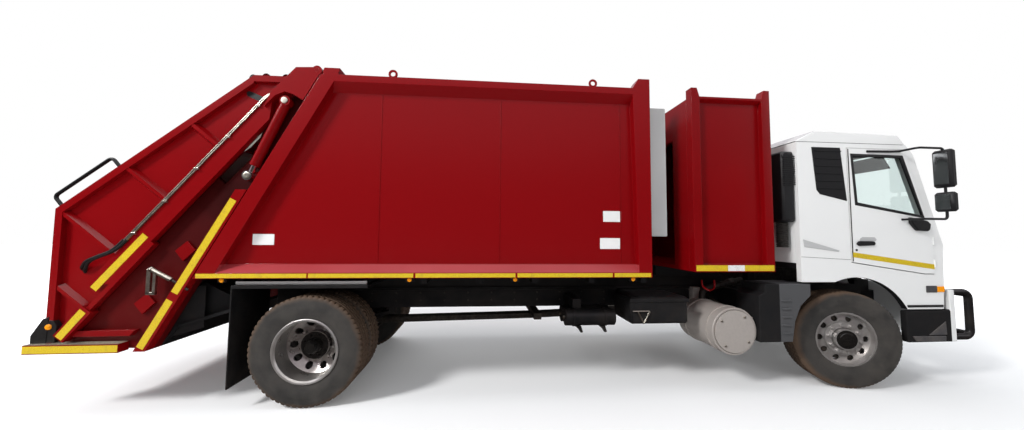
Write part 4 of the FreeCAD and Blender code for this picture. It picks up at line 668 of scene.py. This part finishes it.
body_tape = Shape("body_tape", YELLOW, "chassis")
for start, end in ((-0.955, 0.015), (0.03, 1.0), (1.02, 1.99), (2.01, 2.98), (3.0, 3.385)):
    stick(body_tape, (start, RAIL_TAPE), (end, RAIL_TAPE), 0.04)
for start, end in ((3.875, 4.22), (4.41, 4.742)):
    stick(body_tape, (start, CREW_TAPE), (end, CREW_TAPE), 0.06)
body_tape.both().make()
crew_white = Shape("crew_tape_white", WHITE_TAPE, "chassis")
stick(crew_white, (4.222, CREW_TAPE), (4.408, CREW_TAPE), 0.06)
crew_white.both().make()
tail_tape = Shape("tailgate_tape", YELLOW, "tailgate")
for start, end, face in (
        ((-0.665, 1.955), (-1.125, 1.092), TAPE_FACE), ((-1.16, 1.027), (-1.385, 0.605), TAPE_FACE),
        ((-1.425, 1.615), (-1.828, 1.127), 1.2195), ((-1.883, 0.935), (-2.065, 0.7), 1.2345),
        ((-2.325, 0.6055), (-1.565, 0.6055), TAPE_FACE)):
    stick(tail_tape, start, end, 0.062, face)
tail_tape.both().make()
for side, name in SIDES:
    Shape("door_tape_" + name, YELLOW, name + "_door").side(
        [(5.708, 1.484), (5.708, 1.43), (6.697, 1.298), (6.697, 1.352)],
        DOOR_FACE * side, (DOOR_FACE + TAPE_THICK) * side).make()

plates = Shape("blank_plates", PLATE, "chassis")
for x0, x1, z0, z1 in ((-0.531, -0.335, 1.53, 1.634), (2.917, 3.11, 1.789, 1.902),
                       (2.882, 3.096, 1.506, 1.619)):
    plates.block(x0, x1, -1.1595, -1.1625, z0, z1)
plates.make(0.001)


# Load body: welded panel seams and the pale strip over the rear wheel

seams = Shape("panel_seams", RED, "chassis")
for x in (0.636, 1.833, 3.104):
    seams.block(x - 0.006, x + 0.006, -1.1585, -1.1635, 1.36, 3.045)
seams.both().make(0.003)
guard_strip = Shape("guard_strip", GREY, "chassis")
guard_strip.block(-0.66, 0.54, -1.145, -1.165, 1.152, 1.184).both().make(0.003)


# CAD pieces that carry two finishes, some of them painted light or shade: (colour, roughness, specular)

GLOSS_WHITE = ((0.78, 0.78, 0.77), 0.24, 0.3)
GLOSS_RED = (CRIMSON, 0.2, 0.3)
# A paler red for painted light on the up-facing ledge of the body sides.
LEDGE_LIGHT_RED = ((0.36, 0.04, 0.047), 0.34, 0.35)
MATT_BLACK = ((0.012, 0.012, 0.013), 0.55, 0.15)
MATT_GREY = ((0.075, 0.076, 0.08), 0.5, 0.3)
TRIM_GREY = ((0.022, 0.022, 0.024), 0.7, 0.15)
# A dull near-black red for painted shade in the packer's bay.
BAY_SHADE = ((0.01, 0.0004, 0.0003), 0.6, 0.04)
EDGE = 0.0006


def two_finishes_or_painted_light(name, first, second, where):
    """One paint over a piece, and where the mask says another paint, painted light or painted shade."""
    s = Surface(name)
    mask = where(s)
    lacquer(s, s.mix(mask, first[0], second[0]), 0.24, 0.03, 0.35)
    s.set(Roughness=s.spread(mask, 0, 1, first[1], second[1]),
          Specular_IOR_Level=s.spread(mask, 0, 1, first[2], second[2]))
    return s.mat


def from_middle(s):
    return s.calc("ABSOLUTE", s.along("Y"), 0.0)


def ahead_of(limit):
    return lambda s: s.spread(s.along("X"), limit - EDGE, limit + EDGE)


def behind(limit):
    return lambda s: s.spread(s.along("X"), limit - EDGE, limit + EDGE, 1.0, 0.0)


def below(limit):
    return lambda s: s.spread(s.along("Z"), limit - EDGE, limit + EDGE, 1.0, 0.0)


def inner_face(s):
    """The inner side of a cab panel."""
    return s.spread(from_middle(s), 1.1402, 1.1408, 1.0, 0.0)


def cab_trim(s):
    """The cab side's inner face, the lip of its wheel arch and the louvre on its outer side."""
    out = from_middle(s)
    low = s.spread(s.along("Z"), 1.2445, 1.2455, 1.0, 0.0)
    lip = s.times(low, s.spread(s.along("X"), 2.7046, 2.7054), s.spread(out, 1.1981, 1.1989, 1.0, 0.0))
    return s.calc("MAXIMUM", s.calc("MAXIMUM", inner_face(s), lip), s.spread(out, 1.2006, 1.2014))


def facing_down(s):
    """The undersides."""
    shape = s.node("NewGeometry")
    split = s.node("SeparateXYZ", Vector=shape.outputs["True Normal"])
    return s.spread(split.outputs["Z"], -0.25, -0.35)


def ledge_painted_light(s):
    """The sloped ledge below a side panel, given a paler red in patches as painted light on its up-facing
    face.
    """
    out = from_middle(s)
    high = s.along("Z")
    return s.times(s.spread(out, 1.16, 1.166), s.spread(out, 1.2465, 1.2485, 1.0, 0.0),
                   s.spread(high, 1.268, 1.274), s.spread(high, 1.344, 1.35, 1.0, 0.0),
                   s.spread(s.noise(1.5, 4), 0.3, 0.7, 0.75, 1.0))


def packer_bay_painted_shade(s):
    """The deep bay below the packer's guide, darkened below the guide as painted shade, most towards the top
    and in soft patches.
    """
    down = s.calc("ADD", s.times(s.calc("ADD", s.along("X"), 1.265 - AXLE), 0.771),
                  s.times(s.calc("ADD", s.along("Z"), -2.176), -0.637))
    bay = s.spread(down, 0.255, 0.3)
    deep = s.spread(from_middle(s), 1.16, 1.168, 1.0, 0.0)
    high = s.spread(s.along("Z"), 0.9, 1.9, 0.62, 0.93)
    patch = s.spread(s.noise(2.2, 4), 0.3, 0.7, 0.85, 1.0)
    return s.times(bay, deep, high, patch)


MASKED = (
    # The body sides' sloped ledge gets the paler red as painted light.
    ("body_side_red_and_painted_light", GLOSS_RED, LEDGE_LIGHT_RED, ledge_painted_light, 0.004, "body_side_right body_side_left"),
    # The tailgate sides' bay below the packer's guide gets painted shade.
    ("tailgate_red_and_painted_shade", GLOSS_RED, BAY_SHADE, packer_bay_painted_shade, 0.003, "tailgate_side_right tailgate_side_left"),
    ("door_paint", GLOSS_WHITE, TRIM_GREY, inner_face, 0.008, "door_right door_left"),
    # The hopper is black ahead of the mask's edge as painted shade under the body's rear.
    ("hopper_red_and_painted_shade", GLOSS_RED, MATT_BLACK, ahead_of(-3.9), 0.003, "hopper"),
    ("mudguard_plastic", MATT_BLACK, MATT_GREY, ahead_of(2.38), 0.008, "cab_steps"),
    ("floor_paint", GLOSS_RED, MATT_BLACK, below(1.267), 0, "body_floor"),
    ("crew_floor_paint", GLOSS_RED, MATT_BLACK, below(1.274), 0.003, "crew_floor_and_roof"),
    ("cab_roof_paint", GLOSS_WHITE, TRIM_GREY, facing_down, 0.02, "cab_roof"),
    ("cab_wall_paint", GLOSS_WHITE, TRIM_GREY, ahead_of(2.7046), 0.005, "cab_back_wall"),
    ("cab_side_paint", GLOSS_WHITE, MATT_BLACK, cab_trim, 0.008, "cab_sides"),
    ("cab_nose_paint", GLOSS_WHITE, MATT_BLACK, ahead_of(4.3866), 0.004, "cab_front_panel"),
    ("bumper_paint", GLOSS_WHITE, MATT_BLACK, behind(4.424), 0.012, "front_bumper"))
for paint_name, first, second, where, width, names in MASKED:
    material = two_finishes_or_painted_light(paint_name, first, second, where)
    for node in names.split():
        coat(NODES[node], material, width)


# Marker lamps and headlamps

RIGHT = (0, -1, 0)

markers = Shape("marker_lenses", AMBER, "chassis")
for share in (0.04, 0.433, 0.67, 0.95):
    markers.dome(spot(-0.947 + 4.388 * share, -1.186, 1.197), RIGHT, 0.022, 0.018)
markers.both().make()

for side, name in SIDES:
    Shape("headlamp_" + name, CLEAR_LENS, "chassis").block(
        6.958, 6.966, 0.5 * side, 1.06 * side, 0.66, 0.85).make(0.02)
    bowl = Shape("headlamp_bowl_" + name, CHROME, "chassis")
    for y in (0.62, 0.8, 0.97):
        bowl.ring(spot(6.9655, y * side, 0.755), (1, 0, 0),
                  [(0.072, 0.0), (0.07, 0.003), (0.058, 0.003)], 28)
    bowl.make()
    Shape("corner_lamp_" + name, AMBER, "cab").block(
        6.722, 6.812, 1.199 * side, 1.212 * side, 1.045, 1.108).make(0.006)
    Shape("corner_lamp_housing_" + name, GREY_PLASTIC, "cab", "lamp_plastic").block(
        6.59, 6.722, 1.199 * side, 1.21 * side, 1.04, 1.115).make(0.006)


# Tailgate fittings

SKIN = -1.149
LATCH_OUT = -1.235
STEP_TOP = 0.6465

pipes = Shape("hydraulic_pipes", ZINC, "tailgate")
for drop in (0.0, 0.022):
    run = [(-0.396 - drop, 2.985), (-0.788 - drop, 2.512), (-1.199 - drop, 2.015), (-1.58 - drop, 1.56)]
    pipes.tube([spot(-0.3, -1.215, 3.02 - drop)] + plate(-1.228, run), 0.008, 0.06, 10)
pipes.both().make()
clamps = Shape("pipe_clamps", ZINC, "tailgate")
for share in (0.08, 0.3, 0.52, 0.74, 0.95):
    x = -0.396 - 1.17 * share
    z = 2.985 - 1.415 * share
    clamps.block(x - 0.032, x + 0.01, -1.219, -1.24, z - 0.02, z + 0.002)
clamps.both().make(0.003)
hoses = Shape("hydraulic_hoses", HOSE, "tailgate")
for drop in (0.0, 0.026):
    hoses.tube([spot(-1.57 - drop, -1.228, 1.572), spot(-1.66 - drop, -1.232, 1.47),
                spot(-1.79 - drop, -1.225, 1.42), spot(-1.9 - drop, -1.205, 1.375),
                spot(-1.965 - drop, -1.165, 1.29 + drop), spot(-1.975 - drop, -1.145, 1.27 + drop)],
               0.013, 0.07, 12)
hoses.both().make()

# A black plate in a slot's outline, painted shade for the dark inside of an opening in the side plate.
Shape("tailgate_slot_shade", PLASTIC, "tailgate").side(
    [(-0.665, 3.02), (-0.655, 2.985), (-0.5, 2.915), (-0.435, 2.905), (-0.425, 2.93), (-0.455, 2.955),
     (-0.6, 3.022), (-0.64, 3.035)], -1.1495, -1.1525).both().make(0.001)
brackets = Shape("tailgate_brackets", RED, "tailgate")
for x, z in ((-1.12, 1.47), (-1.44, 0.985)):
    brackets.side([(x - 0.085, z), (x + 0.02, z + 0.095), (x + 0.095, z + 0.01), (x - 0.01, z - 0.095)],
                  SKIN, -1.175)
brackets.both().make(0.003)
Shape("tailgate_ledge", RED, "tailgate").side(
    [(-1.995, 0.7), (-1.52, 0.7), (-1.475, 0.755), (-1.985, 0.752)], SKIN, -1.2).both().make(0.003)

latch = Shape("tailgate_latches", ZINC, "tailgate")
latch.rod(spot(-1.335, LATCH_OUT, 1.3), spot(-1.165, LATCH_OUT, 1.208), 0.021, 16)
latch.rod(spot(-1.35, LATCH_OUT, 1.308), spot(-1.335, LATCH_OUT, 1.3), 0.027, 6)
for x0, x1, z0, z1 in ((-1.372, -1.338, 1.085, 1.305), (-1.318, -1.292, 1.085, 1.285),
                       (-1.372, -1.292, 1.075, 1.1)):
    latch.block(x0, x1, -1.249, -1.222, z0, z1)
latch.both().make(0.003)
Shape("tailgate_latch_rods", DARK_STEEL, "tailgate").rod(
    spot(-1.165, LATCH_OUT, 1.208), spot(-1.02, LATCH_OUT, 1.118), 0.011, 12).both().make()

Shape("step_treads", ZINC, "tailgate").block(
    -2.322, -1.567, -1.247, -1.153, 0.6435, STEP_TOP).both().make()
grip = Shape("step_grip", ZINC, "tailgate")
for row in range(4):
    for step in range(36):
        x = -2.305 + 0.0207 * step + 0.01 * (row % 2)
        y = -1.234 + 0.022 * row
        grip.block(x - 0.006, x + 0.006, y - 0.0025, y + 0.0025, STEP_TOP, 0.649)
grip.both().make()

Shape("rear_corner_flaps", PLASTIC, "tailgate").side(
    [(-2.328, 0.647), (-2.2, 0.647), (-2.19, 0.88), (-2.24, 0.86), (-2.328, 0.715)],
    -1.155, -1.2).both().make(0.004)
# Black sheets standing in for the shade under the hopper's front, as painted shade.
Shape("hopper_shade_sheets", PLASTIC, "tailgate").side(
    [(-1.45, 0.6), (-1.24, 0.66), (-0.99, 0.735), (-0.99, 1.13), (-1.15, 1.13)],
    -1.06, -1.066).both().make()
Shape("packer_arm_covers", CREAM, "tailgate").side(
    [(-0.748, 2.361), (-0.6, 2.475), (-0.515, 2.575), (-0.44, 2.8), (-0.7, 2.5), (-0.74, 2.445)],
    -1.1495, -1.153).both().make(0.001)
Shape("rear_side_lamps", AMBER, "tailgate").dome(
    spot(-2.19, -1.196, 0.79), RIGHT, 0.026, 0.018).both().make()
Shape("rear_side_lamp_brackets", PLASTIC, "tailgate").side(
    [(-2.214, 0.648), (-2.135, 0.648), (-2.125, 0.8), (-2.16, 0.85), (-2.214, 0.85)],
    -1.15, -1.196).both().make(0.004)

work_lamp = Shape("rear_work_lamp", PLASTIC, "tailgate")
work_lamp.rod(spot(-0.66, -0.95, 3.175), spot(-0.69, -0.95, 3.215), 0.012, 10)
work_lamp.rod(spot(-0.745, -0.95, 3.255), spot(-0.655, -0.95, 3.205), 0.04, 20)
work_lamp.both().make(0.002)
lugs = Shape("tailgate_roof_lugs", RED, "tailgate")
for x in (-0.52, -0.33):
    lugs.ring(spot(x, -1.1, 3.205), (0, 1, 0),
              [(0.038, 0), (0.038, 0.02), (0.018, 0.02), (0.018, 0)], 24, False)
    lugs.block(x - 0.03, x + 0.03, -1.1, -1.08, 3.178, 3.192)
lugs.both().make()

pins = Shape("lift_pin_ends", ZINC, "tailgate")
pins.ring(spot(-0.257, -1.249, 2.922), RIGHT,
          [(0.03, -0.004), (0.03, 0.0), (0.024, 0.0006), (0.004, 0.0008)], 24)
pins.ring(spot(0.034, -1.2496, 3.233), RIGHT, [(0.026, -0.004), (0.026, 0.0), (0.004, 0.0003)], 24)
pins.both().make()
Shape("lift_foot_caps", ZINC, "rods").ring(
    spot(-0.565, -1.2425, 2.187), RIGHT,
    [(0.034, 0.0), (0.034, 0.004), (0.028, 0.006), (0.012, 0.0064), (0.011, 0.003), (0.002, 0.003)],
    24).both().make()


# Cab: window frames, handles, mirrors, grille, wipers

CAB_FACE = 1.1995
WINDOW = [(5.744 + 0.853 * a, 1.882 + 0.684 * b)
          for a, b in ((0.036, 0.197), (1.0, 0.0), (0.728, 0.993), (0.0, 1.0))]


def grown(outline, by):
    cx = sum(x for x, z in outline) / len(outline)
    cz = sum(z for x, z in outline) / len(outline)
    return [(x + by * (1 if x > cx else -1), z + by * (1 if z > cz else -1)) for x, z in outline]


for side, name in SIDES:
    door = name + "_door"
    face = DOOR_FACE * side
    rim = Shape("window_frame_" + name, PLASTIC, door)
    outer, inner = grown(WINDOW, 0.014), grown(WINDOW, -0.018)
    for i in range(len(WINDOW)):
        after = (i + 1) % len(WINDOW)
        rim.side([outer[i], outer[after], inner[after], inner[i]], 1.195 * side, 1.2165 * side)
    rim.make(0.004)
    Shape("door_handle_" + name, PLASTIC, door).side(
        [(5.745, 1.575), (5.772, 1.552), (5.955, 1.56), (5.968, 1.582), (5.955, 1.604), (5.772, 1.606)],
        face, 1.234 * side).make(0.008, 3)
    # A grey plate as painted shade in the handle's cup.
    Shape("handle_cup_shade_" + name, SHADE, door).side(
        [(5.79, 1.606), (5.985, 1.606), (6.0, 1.625), (5.975, 1.65), (5.83, 1.652), (5.8, 1.635)],
        face, 1.2165 * side).make(0.006, 3)
    Shape("door_lock_" + name, DARK_STEEL, door).ring(
        spot(5.752, face, 1.508), (0, side, 0), [(0.013, 0), (0.013, 0.003), (0.004, 0.0035)], 20).make()
    glass = Shape("mirror_glass_" + name, MIRROR, door)
    for low, high in ((2.225, 2.565), (1.955, 2.115)):
        glass.block(6.586, 6.589, 1.335 * side, 1.455 * side, low, high)
    glass.make(0.01)
    Shape("mirror_bracket_" + name, PLASTIC, door).side(
        [(6.395, 1.876), (6.6, 1.838), (6.64, 1.8), (6.625, 1.738), (6.6, 1.722), (6.47, 1.728),
         (6.4, 1.81)], face, 1.252 * side).make(0.012, 3)
    Shape("mirror_rail_" + name, PLASTIC, door).tube(
        [spot(5.93, 1.222 * side, 2.607), spot(6.2, 1.226 * side, 2.612), spot(6.33, 1.23 * side, 2.618)],
        0.013, 0.05, 10).make()
    # A grey plate as painted shade in the cab's crease.
    Shape("cab_crease_shade_" + name, SHADE, "cab").side(
        [(5.128, 1.622), (5.56, 1.502), (5.545, 1.49), (5.14, 1.54)],
        CAB_FACE * side, 1.2085 * side).make(0.006)
    seam = Shape("cab_seam_" + name, DARK_STEEL, "cab")
    seam.side(band((5.105, 1.432), (5.69, 1.402), 0.004), 1.1985 * side, 1.2004 * side)
    seam.side(band((5.105, 2.7), (6.4, 2.7), 0.005), 1.1985 * side, 1.2004 * side)
    seam.make()
    Shape("door_seal_" + name, RUBBER, door).side(
        band((5.709, 1.385), (5.709, 2.63), 0.008), 1.206 * side, 1.2122 * side).make()

Shape("sun_visors", GREY_PLASTIC, "cab").side(
    [(6.36, 2.61), (6.378, 2.618), (6.47, 2.47), (6.452, 2.462)], -1.02, -0.12).both().make(0.006)
grille = Shape("grille_mesh", PLASTIC, "cab")
for row in range(7):
    z = 1.218 + row * 0.0405
    grille.block(6.8, 6.842, -0.71, 0.71, z, z + 0.004)
grille.make()
wipers = Shape("wipers", PLASTIC, "cab")
for y in (-0.8, -0.05):
    wipers.tube([spot(6.8, y, 1.805), spot(6.79, y + 0.08, 1.9), spot(6.752, y + 0.72, 1.93)],
                0.01, 0.04, 8)
    wipers.block(6.742, 6.762, y + 0.16, y + 0.72, 1.905, 1.93)
wipers.make(0.003)
roof_markers = Shape("roof_markers", AMBER, "cab")
for y in (-0.85, -0.28, 0.28, 0.85):
    roof_markers.dome(spot(6.42, y, 2.7), (0.25, 0, 1), 0.034, 0.028)
roof_markers.make()

for side, name in SIDES:
    tread = Shape("bumper_step_" + name, GREY_PLASTIC, "chassis")
    tread.side([(6.385, 0.568), (6.795, 0.565), (6.79, 0.508), (6.425, 0.512)],
               CAB_FACE * side, 1.212 * side)
    tread.side([(6.587, 0.576), (6.806, 0.724), (6.812, 0.576)], CAB_FACE * side, 1.208 * side)
    tread.make(0.004)
    Shape("bumper_lip_" + name, PLASTIC, "chassis").side(
        [(6.345, 0.905), (6.79, 0.905), (6.785, 0.88), (6.35, 0.88)],
        CAB_FACE * side, 1.21 * side).make(0.004)


# Running gear and frame fittings

SILENCER = (4.34, 0.64)
RAIL_FACE = -0.425
LEAF_RISE = 0.115
LEAF_THICK = 0.012

exhaust = Shape("exhaust_pipe", DARK_STEEL, "chassis")
exhaust.tube([spot(4.34, -0.62, 0.84), spot(4.36, -0.6, 1.0), spot(4.55, -0.6, 1.04),
              spot(4.93, -0.52, 1.1)], 0.038, 0.08, 16)
exhaust.ring(spot(4.72, -0.565, 1.067), (0.93, 0.22, 0.16),
             [(0.044, 0), (0.05, 0.01), (0.05, 0.09), (0.044, 0.1)], 20, False)
exhaust.make()
Shape("crew_air_hose", RED, "chassis").tube(
    [spot(4.16, -0.9, 1.148), spot(4.15, -0.92, 1.08), spot(4.22, -0.94, 1.03), spot(4.3, -0.92, 1.06),
     spot(4.31, -0.9, 1.148)], 0.009, 0.05, 10).both().make()
struts = Shape("mudguard_struts", ZINC, "chassis")
for z in (0.66, 0.72, 0.78):
    struts.tube([spot(4.62, -1.1, z - 0.02), spot(4.5, -1.05, z), spot(4.5, -0.426, z + 0.13)],
                0.01, 0.03, 8)
struts.both().make()
tank_feet = Shape("air_tank_feet", BLACK, "chassis")
for x in (2.72, 2.99):
    tank_feet.side([(x - 0.035, 0.652), (x + 0.035, 0.652), (x + 0.055, 0.585), (x + 0.03, 0.58),
                    (x + 0.005, 0.62)], -0.9, -0.86)
tank_feet.make(0.003)
Shape("battery_step", ZINC, "chassis").tube(
    plate(-1.062, [(3.27, 0.84), (3.46, 0.84), (3.39, 0.705), (3.33, 0.83)]), 0.008, 0.02, 8).make()

bolts = Shape("silencer_bolts", ZINC, "chassis")
for angle in (53, 143, 233, 323):
    a = math.radians(angle)
    bolts.nut(spot(SILENCER[0] + 0.185 * math.cos(a), -1.172, SILENCER[1] + 0.185 * math.sin(a)),
              RIGHT, 0.013, 0.009)
bolts.make()
Shape("silencer_rim", STEEL, "chassis").ring(
    spot(SILENCER[0], -1.15, SILENCER[1]), RIGHT,
    [(0.246, -0.006), (0.25, 0.004), (0.246, 0.012), (0.232, 0.012), (0.226, 0.002)], 64, False).make()

leaves = Shape("spring_leaves", BLACK, "chassis")
for x, half in ((0.0, 0.61), (WHEELBASE, 0.72)):
    for k in range(5):
        span = half * (0.98 - 0.16 * k)
        rise = LEAF_RISE * (span / half) ** 1.6
        lower = [(x + span * share, 0.598 - 0.016 * k + rise * up)
                 for share, up in ((-1, 1), (-0.5, 0.36), (0, 0), (0.5, 0.36), (1, 1))]
        leaves.side(lower + [(along, z + LEAF_THICK) for along, z in reversed(lower)], -0.426, -0.348)
leaves.both().make()

tank_ends = Shape("air_tank_fittings", ZINC, "chassis")
for y in (-0.86, -0.667):
    for x, ahead in ((2.58, -1), (3.13, 1)):
        tank_ends.nut(spot(x, y, 0.745), (ahead, 0, 0), 0.018, 0.02)
tank_ends.make()
frame_bolts = Shape("frame_bolts", DARK_STEEL, "chassis")
for k in range(23):
    for z in (0.86, 0.95):
        frame_bolts.nut(spot(0.1 + 0.28 * k, RAIL_FACE, z), RIGHT, 0.012, 0.008)
frame_bolts.both().make()
air_lines = Shape("air_lines", HOSE, "chassis")
for k in range(3):
    y, z = RAIL_FACE - 0.006 - 0.004 * k, 0.985 + 0.013 * k
    air_lines.tube([spot(-0.4, y, z), spot(4.6, y, z)], 0.006, 0.05, 8)
air_lines.both().make()

slats = Shape("intake_slats", PLASTIC, "cab")
for k in range(14):
    z = 2.22 + 0.024 * k
    slats.block(4.945, 5.095, -1.177, -1.169, z, z + 0.01)
slats.make()
folds = [fold for k in range(15) for fold in ((0.05, 0.02 * k), (0.062, 0.02 * k + 0.01))]
Shape("intake_bellows", RUBBER, "cab").ring(spot(5.02, -1.06, 1.53), (0, 0, 1), folds, 28).make()


# Staging: floor, sky, lamps and camera

FOCAL_PIXELS = 349.8
PHOTO_WIDE = 1024
SENSOR = 36.0
CAMERA = (-0.806, -4.721, 1.636)
YAW, PITCH, ROLL = (math.radians(a) for a in (4.977, 3.393, 0.441))
FLOOR = [(-60, -40, 0), (60, -40, 0), (60, 80, 0), (-60, 80, 0)]
DAYLIGHT = ((0.0, (0.16, 0.15, 0.14, 1)), (0.12, (0.28, 0.28, 0.28, 1)), (1.0, (0.5, 0.53, 0.58, 1)))
MIRRORED = ((0.0, (0.03, 0.022, 0.02, 1)), (0.17, (0.05, 0.04, 0.04, 1)), (0.25, (0.26, 0.21, 0.24, 1)),
            (0.6, (0.75, 0.69, 0.75, 1)), (1.0, (0.9, 0.9, 0.9, 1)))
LAMPS = (
    ("key", (-13.0, -9.0, 11.5), (0, -1.2, 1.4), (3.0, 3.0), 2600, True),
    ("front", (0.0, -14.0, 9.0), (0.5, 0, 1.4), (16, 8), 340, False),
    ("fill", (11.0, -6.0, 5.0), (2, 0, 1.2), (6, 5), 100, True),
    ("back", (-4.0, 11.0, 8.0), (0, 0, 1.5), (12, 6), 500, False),
    ("top", (0.0, 0.0, 12.0), (0, 0, 0), (12, 8), 560, True))


def lay_floor(scene):
    """A pale floor that is white to the camera far out and keeps the truck's shadow."""
    floor = bpy.data.meshes.new("floor")
    floor.from_pydata(FLOOR, [], [(0, 1, 2, 3)])
    ground = bpy.data.objects.new("floor", floor)
    scene.collection.objects.link(ground)
    s = Surface("pale_floor")
    ray = s.node("LightPath")
    distance = s.node("VectorMath")
    distance.operation = "LENGTH"
    s.feed(s.coords, distance.inputs[0])
    seen = s.mix(s.noise(0.5, 3), (0.9, 0.9, 0.9), (0.87, 0.87, 0.87))
    s.set(Base_Color=s.mix(ray.outputs["Is Glossy Ray"], seen, (0.06, 0.045, 0.04)), Roughness=0.9,
          Specular_IOR_Level=0.0, Emission_Color=(1.0, 1.0, 1.0, 1.0))
    far = s.spread(distance.outputs["Value"], 6.0, 13.0)
    s.set(Emission_Strength=s.times(s.calc("ADD", s.times(far, 0.85), 0.1), ray.outputs["Is Camera Ray"]))
    floor.materials.append(s.mat)


def paint_sky(scene):
    """A studio sky: dim on the truck, brighter in its reflections and white to the camera."""
    world = bpy.data.worlds.new("studio")
    scene.world = world
    world.use_nodes = True
    tree = world.node_tree
    tree.nodes.clear()

    def add(kind):
        return tree.nodes.new("ShaderNode" + kind)

    def sky(stops):
        ramp = add("ValToRGB")
        tree.links.new(height.outputs["Z"], ramp.inputs[0])
        first, last = ramp.color_ramp.elements
        first.position, first.color = stops[0]
        last.position, last.color = stops[-1]
        for position, colour in stops[1:-1]:
            ramp.color_ramp.elements.new(position).color = colour
        return ramp.outputs[0]

    height = add("SeparateXYZ")
    tree.links.new(add("TexCoord").outputs["Generated"], height.inputs[0])
    path = add("LightPath")
    either_sky = add("Mix")
    either_sky.data_type = "RGBA"
    tree.links.new(path.outputs["Is Glossy Ray"], either_sky.inputs["Factor"])
    tree.links.new(sky(DAYLIGHT), either_sky.inputs[6])
    tree.links.new(sky(MIRRORED), either_sky.inputs[7])
    soft = add("Background")
    tree.links.new(either_sky.outputs[2], soft.inputs["Color"])
    white = add("Background")
    white.inputs["Color"].default_value = (1, 1, 1, 1)
    white.inputs["Strength"].default_value = 1.0
    either = add("Math")
    either.operation = "MAXIMUM"
    tree.links.new(path.outputs["Is Camera Ray"], either.inputs[0])
    tree.links.new(path.outputs["Is Transmission Ray"], either.inputs[1])
    blend = add("MixShader")
    for index, source in enumerate((either, soft, white)):
        tree.links.new(source.outputs[0], blend.inputs[index])
    tree.links.new(blend.outputs[0], add("OutputWorld").inputs["Surface"])


def hang_lamp(scene, name, place, target, size, power, shine):
    data = bpy.data.lights.new(name, "AREA")
    data.shape = "RECTANGLE"
    data.size, data.size_y = size
    data.energy = power
    light = bpy.data.objects.new(name, data)
    light.location = place
    aim = Vector(target) - Vector(place)
    light.rotation_euler = aim.to_track_quat("-Z", "Y").to_euler()
    light.visible_glossy = shine
    scene.collection.objects.link(light)


def set_camera(scene):
    """The photo's camera, found from the wheels, the ground line and the body's edges."""
    data = bpy.data.cameras.new("camera")
    data.sensor_width = SENSOR
    data.sensor_fit = "HORIZONTAL"
    data.lens = SENSOR * FOCAL_PIXELS / PHOTO_WIDE
    data.clip_end = 400
    camera = bpy.data.objects.new("camera", data)
    ahead = Vector((math.sin(YAW) * math.cos(PITCH), math.cos(YAW) * math.cos(PITCH), math.sin(PITCH)))
    right = Vector((math.cos(YAW), -math.sin(YAW), 0))
    up = right.cross(ahead)
    level = right * math.cos(ROLL) + up * math.sin(ROLL)
    tall = up * math.cos(ROLL) - right * math.sin(ROLL)
    rows = [(level[i], tall[i], -ahead[i], CAMERA[i]) for i in range(3)]
    camera.matrix_world = Matrix(rows + [(0, 0, 0, 1)])
    scene.collection.objects.link(camera)
    scene.camera = camera


studio = bpy.context.scene
studio.view_settings.view_transform = "Standard"
lay_floor(studio)
paint_sky(studio)
for lamp in LAMPS:
    hang_lamp(studio, *lamp)
set_camera(studio)
